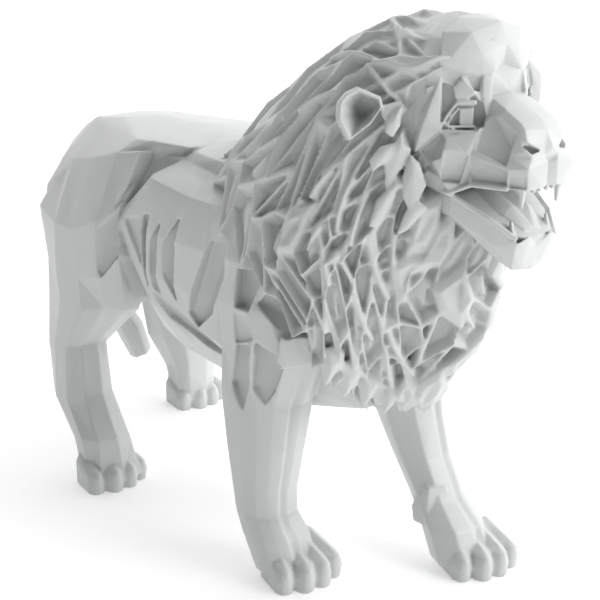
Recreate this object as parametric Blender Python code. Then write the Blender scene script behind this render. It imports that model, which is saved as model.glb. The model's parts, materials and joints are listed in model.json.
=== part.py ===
"""A faceted walking lion, cast as one hollow resin piece, mouth open in a roar.

Frame while it is being shaped: +X is the way the lion faces, +Y is its left, +Z is up,
metres, the paws stand on z = 0.  At the end the whole is moved so that the middle of its
bounding box stands over the origin.
"""
import math
import bpy
import bmesh
from mathutils import Vector

# ---------------------------------------------------------------- main sizes
HEIGHT = 0.80            # ground to the crown of the mane
BACK_Z = 0.590           # ground to the spine
BELLY_Z = 0.235          # ground to the keel of the chest
HIP_HALF = 0.165         # half width over the thighs
CHEST_HALF = 0.170       # half width over the ribs
SHOULDER_HALF = 0.187    # half width over the shoulders
MANE_HALF = 0.190        # half width over the mane
TOE_W = 0.029            # width of one toe
TOE_H = 0.046            # height of a toe over the ground
MANE_COLS = 48           # locks round the neck
MANE_ROWS = 5            # locks from the face to the shoulder
LOCK_DEPTH = 0.013       # how far the middle of a lock is hollowed
LOCK_JITTER = 0.26       # how unevenly the locks are laid, in lock widths
SLIT_DEPTH = 0.014       # depth of the three rib slits


# ---------------------------------------------------------------- helpers
def clear():
    for ob in list(bpy.data.objects):
        bpy.data.objects.remove(ob, do_unlink=True)


def new_object(name, bm):
    bmesh.ops.recalc_face_normals(bm, faces=bm.faces)
    me = bpy.data.meshes.new(name)
    bm.to_mesh(me)
    bm.free()
    ob = bpy.data.objects.new(name, me)
    bpy.context.scene.collection.objects.link(ob)
    return ob


def hull(name, pts):
    bm = bmesh.new()
    vs = [bm.verts.new(p) for p in pts]
    got = bmesh.ops.convex_hull(bm, input=vs, use_existing_faces=False)
    loose = [g for g in got['geom_interior'] if isinstance(g, bmesh.types.BMVert)]
    loose += [v for v in bm.verts if not v.link_faces and v not in loose]
    if loose:
        bmesh.ops.delete(bm, geom=loose, context='VERTS')
    return new_object(name, bm)


def tri_quad(a, b, c, d):
    """Two triangles of a twisted quad, split so that the solid is the fuller one."""
    A, B, C, D = (Vector(p.co) for p in (a, b, c, d))
    if (B - A).cross(C - A).dot(D - A) > 0:
        return (a, b, d), (b, c, d)
    return (a, b, c), (a, c, d)


def loft(name, rings, full=True):
    """A closed solid through rings of the same number of points, ends closed by fans."""
    bm = bmesh.new()
    rows = [[bm.verts.new(p) for p in ring] for ring in rings]
    n = len(rows[0])
    mids = []
    for row in (rows[0], rows[-1]):
        mids.append(bm.verts.new(sum((v.co for v in row), Vector()) / n))
    for r0, r1 in zip(rows, rows[1:]):
        for i in range(n):
            k = (i + 1) % n
            q = (r0[i], r0[k], r1[k], r1[i])
            for t in tri_quad(*q):
                bm.faces.new(t)
    for i in range(n):
        k = (i + 1) % n
        bm.faces.new((rows[0][k], rows[0][i], mids[0]))
        bm.faces.new((rows[-1][i], rows[-1][k], mids[1]))
    return new_object(name, bm)


def mirror(p):
    return (p[0], -p[1], p[2])


def both(pts):
    """The points of the right half with their mirror images."""
    return list(pts) + [mirror(p) for p in pts if abs(p[1]) > 1e-6]


def lerp(a, b, t):
    return tuple(x + (y - x) * t for x, y in zip(a, b))


def noise(i, j, k):
    """A fixed scatter from 0 to 1 for lock i, j; the same every time."""
    v = math.sin(i * 127.1 + j * 311.7 + k * 74.7) * 43758.5453
    return v - math.floor(v)


def bar(name, p, q, r, up=(0, 0, 1), taper=1.0, sides=4):
    """A straight bar from p to q; r is its half thickness."""
    p, q = Vector(p), Vector(q)
    d = (q - p).normalized()
    u = Vector(up)
    u = (u - d * u.dot(d)).normalized()
    w = d.cross(u)
    rings = []
    for c, s in ((p, r), (q, r * taper)):
        rings.append([tuple(c + (u * math.cos(a) + w * math.sin(a)) * s)
                      for a in (2 * math.pi * (i + 0.5) / sides for i in range(sides))])
    return loft(name, rings)


# ---------------------------------------------------------------- trunk
# One row for each cross section, from the back of the ribs to the neck.  Each row holds the
# right half: spine, edge of the back, foot of the back step, edge of the shelf, the ribs,
# lower ribs, belly edge, keel edge, keel.
RIBS = [
    [(-.130, 0, .584), (-.125, -.070, .570), (-.118, -.085, .562), (-.130, -.132, .545), (-.228, -.138, .461),
     (-.198, -.126, .390), (-.192, -.108, .338), (-.195, -.080, .282), (-.190, 0, .262)],
    [(-.100, 0, .587), (-.096, -.078, .573), (-.092, -.090, .559), (-.122, -.145, .540), (-.193, -.153, .462),
     (-.168, -.148, .400), (-.150, -.134, .346), (-.154, -.070, .256), (-.150, 0, .245)],
    [(-.050, 0, .591), (-.040, -.088, .573), (-.037, -.097, .555), (-.017, -.151, .531), (-.100, -.161, .462),
     (-.100, -.158, .400), (-.100, -.140, .355), (-.082, -.062, .244), (-.080, 0, .235)],
    [(.050, 0, .600), (.049, -.100, .573), (.045, -.109, .550), (.033, -.153, .532), (.030, -.168, .470),
     (.020, -.160, .395), (-.020, -.136, .335), (.000, -.062, .236), (.000, 0, .228)],
    [(.150, 0, .612), (.150, -.100, .585), (.150, -.110, .560), (.130, -.150, .540), (.120, -.170, .470),
     (.120, -.160, .380), (.080, -.130, .310), (.100, -.062, .238), (.100, 0, .232)],
    [(.260, 0, .600), (.260, -.080, .570), (.260, -.090, .550), (.250, -.110, .530), (.250, -.120, .450),
     (.250, -.110, .380), (.240, -.090, .320), (.240, -.060, .275), (.240, 0, .270)],
]
# The waist that carries the hips, same idea with fewer points: spine, top, side, low, keel.
WAIST = [
    [(-.470, 0, .520), (-.460, -.070, .510), (-.460, -.100, .440), (-.450, -.070, .350), (-.450, 0, .340)],
    [(-.300, 0, .578), (-.300, -.090, .560), (-.300, -.118, .460), (-.300, -.088, .345), (-.300, 0, .310)],
    [(-.190, 0, .583), (-.190, -.100, .562), (-.180, -.128, .460), (-.185, -.092, .310), (-.190, 0, .270)],
    [(-.060, 0, .580), (-.060, -.080, .560), (-.060, -.120, .460), (-.060, -.080, .290), (-.060, 0, .250)],
]
# The rump: a convex block.  Right half.
RUMP = [
    (-.340, -.045, .588), (-.425, -.042, .577), (-.476, -.032, .556), (-.512, -.038, .525),
    (-.545, -.030, .480), (-.560, -.030, .425), (-.548, -.030, .365), (-.450, -.088, .521),
    (-.385, -.115, .522), (-.222, -.135, .561), (-.205, -.110, .581), (-.170, -.105, .582),
    (-.112, -.078, .577), (-.300, 0, .5925), (-.500, -.100, .458), (-.505, -.098, .400),
    (-.470, -.110, .340), (-.215, 0, .592), (-.300, -.120, .450), (-.450, 0, .340),
]


def half_ring(row):
    """The right half closed with its mirror image."""
    return list(row) + [mirror(p) for p in reversed(row[1:-1])]


# ---------------------------------------------------------------- hind legs
# Columns round the leg: rear, rear outer, outer, middle outer, front outer, front inner,
# inner, rear inner.  Right leg; the thigh rings serve the left leg mirrored.
THIGH = [
    [(-.450, -.085, .518), (-.385, -.115, .520), (-.300, -.128, .541), (-.222, -.136, .560), (-.168, -.130, .571),
     (-.170, -.060, .555), (-.260, -.030, .530), (-.420, -.030, .505)],
    [(-.480, -.118, .428), (-.392, -.152, .423), (-.325, -.162, .426), (-.242, -.166, .455), (-.206, -.150, .475),
     (-.200, -.070, .450), (-.280, -.030, .420), (-.460, -.040, .410)],
    [(-.452, -.122, .345), (-.385, -.158, .345), (-.304, -.166, .352), (-.230, -.170, .370), (-.200, -.155, .409),
     (-.195, -.080, .390), (-.280, -.040, .360), (-.430, -.060, .340)],
]
SHANK_FORWARD = [          # right leg: under the body, hock upright
    [(-.434, -.134, .290), (-.368, -.163, .300), (-.294, -.168, .302), (-.246, -.156, .314), (-.232, -.124, .308),
     (-.246, -.092, .300), (-.310, -.068, .290), (-.405, -.088, .290)],
    [(-.434, -.143, .205), (-.395, -.163, .212), (-.350, -.169, .222), (-.322, -.156, .232), (-.316, -.128, .232),
     (-.328, -.104, .226), (-.365, -.095, .218), (-.415, -.108, .208)],
    [(-.432, -.148, .122), (-.395, -.166, .124), (-.350, -.172, .134), (-.308, -.162, .146), (-.298, -.134, .150),
     (-.314, -.106, .146), (-.355, -.094, .130), (-.410, -.108, .118)],
    [(-.350, -.155, .066), (-.328, -.174, .074), (-.296, -.180, .082), (-.266, -.168, .086), (-.256, -.136, .082),
     (-.268, -.104, .076), (-.295, -.094, .072), (-.334, -.108, .066)],
    [(-.330, -.155, .020), (-.315, -.172, .015), (-.285, -.176, .015), (-.255, -.168, .015), (-.240, -.134, .015),
     (-.245, -.100, .015), (-.280, -.092, .015), (-.320, -.110, .015)],
]
SHANK_BACK = [             # left leg, written on the right side and mirrored: pushed back
    [(-.505, -.130, .290), (-.465, -.165, .300), (-.400, -.172, .300), (-.335, -.162, .310), (-.300, -.130, .310),
     (-.320, -.088, .300), (-.400, -.065, .290), (-.480, -.090, .280)],
    [(-.578, -.142, .205), (-.556, -.172, .210), (-.505, -.187, .215), (-.455, -.182, .222), (-.430, -.150, .225),
     (-.440, -.115, .220), (-.490, -.100, .210), (-.552, -.112, .200)],
    [(-.572, -.148, .135), (-.552, -.180, .140), (-.510, -.196, .145), (-.455, -.190, .152), (-.425, -.160, .156),
     (-.435, -.125, .150), (-.480, -.110, .140), (-.545, -.120, .130)],
    [(-.530, -.155, .072), (-.512, -.196, .076), (-.478, -.212, .086), (-.438, -.206, .095), (-.412, -.172, .097),
     (-.420, -.136, .093), (-.455, -.126, .084), (-.512, -.136, .072)],
    [(-.512, -.160, .015), (-.500, -.196, .015), (-.478, -.208, .015), (-.455, -.204, .015), (-.440, -.176, .015),
     (-.445, -.146, .015), (-.465, -.132, .015), (-.500, -.140, .015)],
]

# ---------------------------------------------------------------- front legs
# Columns: rear, rear outer, outer a, outer b, front outer, lip, groove, lip, front inner,
# inner, rear inner.
SHOULDER = [
    [(.030, -.110, .540), (.060, -.140, .530), (.115, -.150, .520), (.170, -.150, .520), (.210, -.140, .520),
     (.240, -.120, .520), (.245, -.110, .520), (.250, -.090, .520), (.250, -.060, .520), (.140, -.030, .520),
     (.040, -.060, .520)],
    [(.030, -.120, .462), (.062, -.160, .458), (.117, -.172, .463), (.173, -.178, .472), (.215, -.170, .465),
     (.245, -.140, .460), (.250, -.125, .460), (.255, -.110, .460), (.250, -.080, .460), (.150, -.040, .460),
     (.040, -.070, .460)],
    [(.020, -.130, .400), (.058, -.162, .404), (.111, -.177, .412), (.150, -.187, .419), (.190, -.182, .425),
     (.235, -.155, .415), (.240, -.140, .415), (.245, -.125, .410), (.235, -.085, .400), (.140, -.050, .400),
     (.030, -.080, .400)],
    [(.025, -.128, .340), (.060, -.158, .345), (.105, -.173, .355), (.149, -.184, .368), (.208, -.170, .362),
     (.222, -.145, .355), (.224, -.135, .353), (.226, -.122, .350), (.215, -.085, .345), (.140, -.055, .340),
     (.045, -.080, .335)],
]
# Template of the lower leg seen from above: (along, across) in leg half sizes.
LEG_SHAPE = [(-1.00, .25), (-.62, .92), (-.05, 1.00), (.50, .92), (.80, .66), (1.00, .36),
             (.90, .18), (1.00, -.04), (.85, -.62), (.05, -1.00), (-.72, -.70)]
FRONT_RIGHT = [            # (x, y, z, half length, half width) down the leg
    (.110, -.118, .276, .070, .052), (.107, -.119, .200, .058, .046), (.104, -.118, .135, .046, .041),
    (.106, -.116, .098, .042, .041), (.122, -.112, .068, .044, .046), (.142, -.108, .015, .040, .044),
]
FRONT_LEFT = [
    (.123, .112, .300, .070, .052), (.161, .106, .209, .054, .046), (.191, .102, .155, .045, .041),
    (.230, .100, .098, .039, .039), (.260, .099, .066, .044, .046), (.283, .099, .015, .042, .046),
]


def front_leg(name, rows, side, shoulder_shift):
    rings = []
    for row in SHOULDER:
        rings.append([(x + shoulder_shift, y * -side, z) for x, y, z in row])
    for x, y, z, a, b in rows:
        rings.append([(x + a * u, y + side * b * v, z) for u, v in LEG_SHAPE])
    return loft(name, rings)


def toe(name, x, y, heading, width, height, length, lift=0.0):
    """One toe: a wedge with an upright pointed front face and a ridge running back."""
    c, s = math.cos(heading), math.sin(heading)
    h, w = height, width / 2

    def at(u, v, z):
        return (x + c * u - s * v, y + s * u + c * v, z)
    return hull(name, [
        at(0, -w * .72, 0), at(0, w * .72, 0), at(.004, -w * .80, h * .42), at(.004, w * .80, h * .42),
        at(-.002, 0, h * .98), at(-.010, -w * .98, h * .62), at(-.010, w * .98, h * .62),
        at(-length, -w * .95, 0), at(-length, w * .95, 0), at(-length, 0, h * 1.45 + lift),
        at(-length, -w, h * .95 + lift), at(-length, w, h * .95 + lift),
    ])


def paw(name, x, y, heading, height=TOE_H, width=TOE_W, toes=4, length=.075, lift=0.0):
    """Four toes in an arc; x, y is the middle of the arc on the ground."""
    out = []
    c, s = math.cos(heading), math.sin(heading)
    for i in range(toes):
        v = i - (toes - 1) / 2
        back = .0065 * abs(v) ** 2.0
        fan = heading + v * .13
        across = v * width * .98
        out.append(toe('%s_toe%d' % (name, i), x - c * back - s * across, y - s * back + c * across,
                       fan, width * 1.06, height * (1.0 - .05 * abs(v)), length - back, lift))
    return out


# ---------------------------------------------------------------- head
# Right half of the upper head.  First the middle line from the forehead to the palate.
HEAD = {
    'crown': (.330, 0, .800), 'fore_top': (.375, 0, .797), 'fore': (.400, 0, .777), 'frown': (.404, 0, .744),
    'bridge': (.416, 0, .715), 'bridge_low': (.464, 0, .689), 'nose_top': (.474, 0, .678),
    'nose_tip': (.486, 0, .658), 'philtrum': (.477, 0, .641), 'lip_mid': (.477, 0, .613),
    'palate': (.438, 0, .618), 'palate_back': (.370, 0, .625),
    'br1': (.410, -.026, .711), 'br2': (.440, -.026, .698), 'br3': (.461, -.022, .686),
    'nose_side': (.466, -.023, .680), 'nose_wing': (.475, -.029, .659), 'wing_back': (.456, -.035, .663),
    'nose_low': (.483, -.010, .650),
    'muz_to': (.460, -.044, .648), 'muz_ti': (.479, -.030, .649), 'muz_mo': (.463, -.049, .636),
    'muz_mi': (.483, -.040, .638), 'muz_bo': (.462, -.046, .612), 'muz_bi': (.479, -.034, .611),
    'muz_ft': (.485, -.009, .644), 'muz_fb': (.484, -.011, .613),
    'sn_b': (.414, -.062, .648), 'sn_c': (.418, -.060, .612),
    'eye_in': (.405, -.036, .676), 'eye_out': (.376, -.073, .673), 'socket': (.388, -.051, .689),
    'lid_o': (.389, -.061, .702), 'lid_i': (.401, -.041, .704),
    'brow_in': (.412, -.024, .736), 'brow_spike': (.413, -.033, .689), 'brow_mid': (.405, -.039, .733),
    'brow_low': (.405, -.048, .715), 'brow_peak': (.393, -.056, .735), 'brow_out': (.384, -.062, .721),
    'tmp_lo': (.374, -.077, .727), 'tmp_hi': (.370, -.080, .750), 'fore_side': (.384, -.052, .776),
    'ck_b': (.390, -.077, .666), 'ck_c': (.417, -.055, .673), 'ck_d': (.414, -.066, .649),
    'ck_e': (.394, -.082, .652), 'ck_f': (.378, -.087, .639), 'ck_g': (.389, -.080, .610),
    'ck_a': (.358, -.087, .647), 'tmp_mid': (.350, -.090, .690), 'lip_c': (.395, -.072, .600),
    'back_top': (.270, -.070, .770), 'back_side': (.270, -.100, .690), 'back_low': (.290, -.090, .610),
    'back_mid': (.270, 0, .790), 'back_pal': (.290, 0, .620), 'pal_side': (.415, -.046, .614),
    'pal_front': (.458, -.034, .611), 'pal_back': (.350, -.060, .612),
}
HEAD_FACES = [
    ('crown', 'fore_top', 'fore_side'), ('fore_top', 'fore', 'fore_side'), ('fore', 'frown', 'brow_in'),
    ('fore', 'brow_in', 'fore_side'), ('fore_side', 'brow_in', 'brow_mid'), ('fore_side', 'brow_mid', 'brow_peak'),
    ('fore_side', 'brow_peak', 'tmp_hi'), ('brow_peak', 'brow_out', 'tmp_hi'), ('tmp_hi', 'brow_out', 'tmp_lo'),
    ('brow_peak', 'brow_low', 'brow_out'), ('brow_peak', 'brow_mid', 'brow_low'), ('brow_mid', 'brow_in', 'brow_spike'),
    ('brow_low', 'brow_mid', 'brow_spike'), ('brow_low', 'brow_spike', 'lid_i'), ('brow_low', 'lid_i', 'lid_o'),
    ('brow_out', 'brow_low', 'lid_o'), ('tmp_lo', 'brow_out', 'lid_o'), ('tmp_lo', 'lid_o', 'eye_out'),
    ('lid_o', 'lid_i', 'socket'), ('lid_i', 'brow_spike', 'eye_in'), ('lid_i', 'eye_in', 'socket'),
    ('socket', 'eye_in', 'eye_out'), ('lid_o', 'socket', 'eye_out'),
    ('frown', 'bridge', 'brow_in'), ('bridge', 'br1', 'brow_in'), ('brow_in', 'br1', 'brow_spike'),
    ('bridge', 'bridge_low', 'br2'), ('bridge', 'br2', 'br1'), ('bridge_low', 'br3', 'br2'),
    ('bridge_low', 'nose_top', 'nose_side'), ('bridge_low', 'nose_side', 'br3'),
    ('nose_top', 'nose_tip', 'nose_low'), ('nose_top', 'nose_low', 'nose_side'),
    ('nose_side', 'nose_low', 'nose_wing'), ('nose_side', 'nose_wing', 'wing_back'),
    ('br3', 'nose_side', 'wing_back'), ('nose_tip', 'philtrum', 'nose_low'), ('nose_low', 'philtrum', 'muz_ft'),
    ('nose_low', 'muz_ft', 'muz_ti'), ('nose_wing', 'nose_low', 'muz_ti'), ('nose_wing', 'muz_ti', 'muz_to'),
    ('wing_back', 'nose_wing', 'muz_to'), ('muz_to', 'muz_ti', 'muz_mi'), ('muz_to', 'muz_mi', 'muz_mo'),
    ('muz_mo', 'muz_mi', 'muz_bi'), ('muz_mo', 'muz_bi', 'muz_bo'), ('muz_ti', 'muz_ft', 'muz_mi'),
    ('muz_mi', 'muz_ft', 'muz_fb'), ('muz_mi', 'muz_fb', 'muz_bi'), ('muz_ft', 'philtrum', 'lip_mid'),
    ('muz_ft', 'lip_mid', 'muz_fb'),
    ('br1', 'br2', 'brow_spike'), ('br2', 'ck_c', 'brow_spike'), ('brow_spike', 'ck_c', 'eye_in'), ('br2', 'br3', 'wing_back'), ('br2', 'wing_back', 'sn_b'), ('sn_b', 'wing_back', 'muz_to'),
    ('sn_b', 'muz_to', 'muz_mo'), ('sn_b', 'muz_mo', 'muz_bo'), ('sn_b', 'muz_bo', 'sn_c'),
    ('br2', 'sn_b', 'ck_c'),
    ('eye_in', 'ck_c', 'ck_b'), ('eye_in', 'ck_b', 'eye_out'), ('ck_b', 'ck_c', 'ck_d'), ('ck_b', 'ck_d', 'ck_e'),
    ('ck_c', 'sn_b', 'ck_d'), ('eye_out', 'ck_b', 'ck_a'), ('ck_b', 'ck_e', 'ck_f'), ('ck_b', 'ck_f', 'ck_a'),
    ('ck_e', 'ck_d', 'ck_g'), ('ck_e', 'ck_g', 'ck_f'), ('ck_d', 'sn_b', 'sn_c'), ('ck_d', 'sn_c', 'ck_g'),
    ('sn_c', 'lip_c', 'ck_g'), ('ck_f', 'ck_g', 'lip_c'), ('ck_a', 'ck_f', 'lip_c'),
    ('tmp_lo', 'eye_out', 'tmp_mid'), ('eye_out', 'ck_a', 'tmp_mid'), ('tmp_hi', 'tmp_lo', 'tmp_mid'),
    ('crown', 'fore_side', 'back_top'), ('fore_side', 'tmp_hi', 'back_top'), ('tmp_hi', 'tmp_mid', 'back_side'),
    ('tmp_hi', 'back_side', 'back_top'), ('tmp_mid', 'ck_a', 'back_side'), ('ck_a', 'lip_c', 'back_low'),
    ('ck_a', 'back_low', 'back_side'), ('crown', 'back_top', 'back_mid'),
    ('lip_mid', 'pal_front', 'muz_fb'), ('muz_fb', 'pal_front', 'muz_bi'), ('muz_bi', 'pal_front', 'muz_bo'),
    ('pal_front', 'pal_side', 'muz_bo'), ('muz_bo', 'pal_side', 'sn_c'), ('sn_c', 'pal_side', 'lip_c'),
    ('lip_mid', 'palate', 'pal_front'), ('palate', 'pal_side', 'pal_front'), ('palate', 'palate_back', 'pal_side'),
    ('pal_side', 'pal_back', 'lip_c'), ('palate_back', 'pal_back', 'pal_side'), ('lip_c', 'pal_back', 'back_low'),
    ('palate_back', 'back_pal', 'pal_back'), ('pal_back', 'back_pal', 'back_low'),
    ('back_mid', 'back_top', 'back_side'), ('back_mid', 'back_side', 'back_low'), ('back_mid', 'back_low', 'back_pal'),
]


def head(name):
    bm = bmesh.new()
    right = {k: bm.verts.new(p) for k, p in HEAD.items()}
    left = {k: (right[k] if abs(HEAD[k][1]) < 1e-9 else bm.verts.new(mirror(HEAD[k]))) for k in HEAD}
    for f in HEAD_FACES:
        bm.faces.new([right[k] for k in f])
        bm.faces.new([left[k] for k in reversed(f)])
    return new_object(name, bm)


def jaw_parts():
    out = []
    # the lower jaw: a trough, rings from the hinge to the chin
    # outer top, outer bottom, keel side, keel middle ... and the inside of the trough
    rows = [
        [(.330, -.062, .604), (.330, -.058, .575), (.340, -.030, .560), (.345, 0, .556),
         (.345, 0, .590), (.340, -.042, .592)],
        [(.394, -.070, .597), (.392, -.068, .573), (.390, -.034, .545), (.390, 0, .540),
         (.394, 0, .568), (.395, -.050, .578)],
        [(.442, -.054, .572), (.443, -.050, .544), (.436, -.030, .519), (.434, 0, .515),
         (.437, 0, .545), (.440, -.038, .556)],
        [(.469, -.036, .548), (.465, -.035, .537), (.455, -.027, .511), (.453, 0, .509),
         (.458, 0, .536), (.462, -.026, .542)],
        [(.474, -.020, .556), (.470, -.020, .540), (.460, -.015, .511), (.461, 0, .509),
         (.467, 0, .546), (.469, -.016, .551)],
    ]
    rings = [row[:4] + [mirror(p) for p in (row[2], row[1], row[0])] + [mirror(row[5]), row[4], row[5]]
             for row in rows]
    out.append(loft('jaw', rings))
    # tongue: a low ridge lying in the trough
    out.append(hull('tongue', [(.360, -.030, .592), (.360, .030, .592), (.360, 0, .600), (.430, -.028, .566),
                               (.430, .028, .566), (.420, 0, .572), (.460, -.014, .556), (.460, .014, .556),
                               (.440, 0, .530), (.380, 0, .550), (.400, -.030, .580), (.400, .030, .580)]))
    for s in (-1, 1):
        out.append(bar('fang_up%d' % s, (.470, s * .032, .622), (.468, s * .031, .584), .0075, up=(1, 0, 0), taper=.30,
                       sides=5))
        out.append(bar('fang_lo%d' % s, (.459, s * .032, .540), (.454, s * .031, .571), .0075, up=(1, 0, 0), taper=.30,
                       sides=5))
    # small front teeth
    for i, y in enumerate((-.017, -.006, .006, .017)):
        out.append(bar('tooth%d' % i, (.474, y, .620), (.472, y, .606), .0055, up=(1, 0, 0), taper=.6))
    return out


def eye_parts():
    out = []
    for s in (-1, 1):
        def p(x, y, z):
            return (x, s * y, z)
        out.append(hull('iris%d' % s, [p(.3925, .0585, .6980), p(.4035, .0460, .6980), p(.3925, .0585, .6790),
                                       p(.4035, .0460, .6790), p(.378, .046, .701), p(.378, .046, .677),
                                       p(.393, .036, .701), p(.393, .036, .677)]))
        out.append(bar('lid_a%d' % s, p(.3905, .0620, .7025), p(.4045, .0445, .7035), .0035))
        out.append(bar('lid_b%d' % s, p(.3755, .0735, .6735), p(.3910, .0620, .7025), .0032))
        out.append(bar('lid_c%d' % s, p(.3755, .0735, .6735), p(.4060, .0450, .6765), .0035))
    return out


def ear(name, side):
    """A pocket opening forwards and outwards."""
    c = Vector((.292, side * .148, .690))
    n = Vector((.80, side * .58, .12)).normalized()
    u = Vector((-.10, side * -.05, 1))
    u = (u - n * u.dot(n)).normalized()
    w = u.cross(n)
    shape = [(-.90, .30), (-.60, .85), (.10, 1.05), (.85, .70), (1.0, .10), (.62, -.45), (-.10, -1.05), (-.80, -.45)]
    hw, hh = .036, .044

    def ring(scale, depth):
        return [tuple(c + w * (a * hw * scale) + u * (b * hh * scale) + n * depth) for a, b in shape]
    bm = bmesh.new()
    rows = [[bm.verts.new(p) for p in ring(s, d)] for s, d in ((1.15, -.050), (1.0, .004), (.80, .006), (.30, -.026))]
    k = len(shape)
    for r0, r1 in zip(rows, rows[1:]):
        for i in range(k):
            bm.faces.new((r0[i], r0[(i + 1) % k], r1[(i + 1) % k], r1[i]))
    bm.faces.new(rows[0])
    bm.faces.new(rows[-1])
    bmesh.ops.triangulate(bm, faces=bm.faces)
    return new_object(name, bm)


# ---------------------------------------------------------------- mane
# Guide lines the locks run along, right half, from the crown round the cheek to the chin:
# edge of the face, one third, two thirds, tip.
GUIDES = [
    [(.385, 0, .784), (.262, 0, .790), (.100, 0, .706), (-.042, 0, .596)],
    [(.376, -.050, .770), (.248, -.070, .768), (.088, -.080, .664), (-.015, -.084, .582)],
    [(.364, -.080, .743), (.254, -.124, .722), (.110, -.140, .620), (.045, -.140, .548)],
    [(.346, -.090, .698), (.264, -.154, .655), (.148, -.174, .562), (.072, -.167, .486)],
    [(.345, -.092, .650), (.286, -.164, .586), (.198, -.186, .508), (.130, -.183, .440)],
    [(.360, -.086, .608), (.312, -.148, .534), (.252, -.174, .458), (.206, -.172, .396)],
    [(.376, -.064, .576), (.334, -.108, .498), (.287, -.131, .424), (.255, -.137, .350)],
    [(.388, -.034, .550), (.362, -.060, .470), (.318, -.076, .392), (.278, -.074, .320)],
    [(.400, 0, .532), (.396, 0, .452), (.366, 0, .376), (.312, 0, .304)],
]


def catmull(a, b, c, d, t):
    return tuple(.5 * (2 * q + (r - p) * t + (2 * p - 5 * q + 4 * r - s) * t * t + (3 * q - p - 3 * r + s) * t ** 3)
                 for p, q, r, s in zip(a, b, c, d))


def guide_point(g, t):
    """A point on guide line g at t from 0 (face) to 1 (tip)."""
    p = g[0], g[1], g[2], g[3]
    ext = [lerp(p[1], p[0], 2)] + list(p) + [lerp(p[2], p[3], 2)]
    f = min(max(t, -.12), 1.12) * 3
    i = min(max(int(math.floor(f)), 0), 2)
    return catmull(ext[i], ext[i + 1], ext[i + 2], ext[i + 3], f - i)


def mane_point(a, t):
    """a runs 0..1 from the crown down the right side to the chin and on up the left side."""
    a = a % 1.0
    side = 1 if a <= .5 else -1
    h = (a if a <= .5 else 1 - a) * 2
    n = len(GUIDES) - 1
    f = h * n
    i = min(int(f), n - 1)
    pts = [guide_point(g, t) for g in GUIDES]
    pts = [mirror(pts[1])] + pts + [mirror(pts[-2])]
    p = catmull(pts[i], pts[i + 1], pts[i + 2], pts[i + 3], f - i)
    return p if side == 1 else mirror(p)


def mane_frame(a, t):
    """Point and outward direction."""
    e = .004
    p = Vector(mane_point(a, t))
    da = Vector(mane_point(a + e, t)) - Vector(mane_point(a - e, t))
    dt = Vector(mane_point(a, t + .02)) - Vector(mane_point(a, t - .02))
    n = dt.cross(da)
    if n.length < 1e-9:
        n = Vector((0, 0, 1))
    return p, n.normalized()


def mane(name, cols=MANE_COLS, rows=MANE_ROWS):
    """A collar of long pointed locks, each hollowed, with a sharp ridge between two locks."""
    bm = bmesh.new()
    short = .24                                   # half length of the straight side of a lock

    def knot(i, j, up):
        """Corner between two locks of row j: column i, lower or upper end of their common side."""
        i = i % cols
        off = .5 * (j % 2)
        u = i + .5 + off
        v = j + .5 + (short if up else -short)
        k = 1 if up else 0
        ju = (noise(i, j, 1 + k) - .5) * 2 * LOCK_JITTER
        jv = (noise(i, j, 5 + k) - .5) * 2 * LOCK_JITTER * .55
        edge = v < .2 or v > rows - .2
        t = (v + (0 if edge else jv)) / rows
        p, n = mane_frame((u + ju) / cols, t)
        lift = (noise(i, j, 9 + k) - .45) * .009
        return tuple(p + n * lift)

    low = [[bm.verts.new(knot(i, j, False)) for i in range(cols)] for j in range(rows + 1)]
    top = [[bm.verts.new(knot(i, j, True)) for i in range(cols)] for j in range(-1, rows)]
    # top[j + 1] are the upper ends of row j; low[rows] the corners beyond the last row

    def cell(i, j):
        shift = j % 2
        # a lock of row j, column i sits between the sides i - 1 and i of its row
        il, ir = (i - 1) % cols, i % cols
        # bottom corner: upper end of the row below; top corner: lower end of the row above
        kb = (i - 1 + shift) % cols if shift == 0 else i % cols
        kt = kb
        return [top[j][kb], low[j][ir], top[j + 1][ir], low[j + 1][kt], top[j + 1][il], low[j][il]]

    for j in range(rows):
        for i in range(cols):
            c = cell(i, j)
            off = .5 * (j % 2)
            p, n = mane_frame((i + off) / cols, (j + .42) / rows)
            mid = sum((v.co for v in c), Vector()) / 6
            deep = LOCK_DEPTH * (.45 + .75 * noise(i, j, 3)) * (.55 if j == 0 else 1)
            m = bm.verts.new(mid * .75 + p * .25 - n * deep)
            for k in range(6):
                bm.faces.new((c[k], c[(k + 1) % 6], m))
    # close the two zigzag borders inside the head and inside the chest
    bm.verts.ensure_lookup_table()
    for row_low, row_top, j, centre, pull in ((low[0], top[0], 0, (.300, 0, .660), .30),
                                              (low[rows], top[rows], rows, (.130, 0, .440), .22)):
        hub = bm.verts.new(centre)
        edges = [e for e in bm.edges if e.is_boundary and all(v in row_low or v in row_top for v in e.verts)]
        for e in edges:
            bm.faces.new((e.verts[0], e.verts[1], hub))
    return new_object(name, bm)


# ---------------------------------------------------------------- tail
def tail(name):
    path = [(-.520, 0, .500, .034), (-.572, .004, .470, .030), (-.604, .012, .405, .022), (-.618, .028, .330, .018),
            (-.622, .055, .255, .017), (-.618, .090, .185, .022), (-.610, .122, .125, .027), (-.606, .142, .070, .022)]
    rings = []
    for i, (x, y, z, r) in enumerate(path):
        a = path[max(i - 1, 0)]
        b = path[min(i + 1, len(path) - 1)]
        d = Vector((b[0] - a[0], b[1] - a[1], b[2] - a[2])).normalized()
        s = Vector((0, 1, 0))
        s = (s - d * s.dot(d)).normalized()
        f = d.cross(s)
        rings.append([tuple(Vector((x, y, z)) + (s * math.cos(q) + f * math.sin(q)) * r)
                      for q in (math.pi * (k + .5) / 3 for k in range(6))])
    return loft(name, rings)


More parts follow.
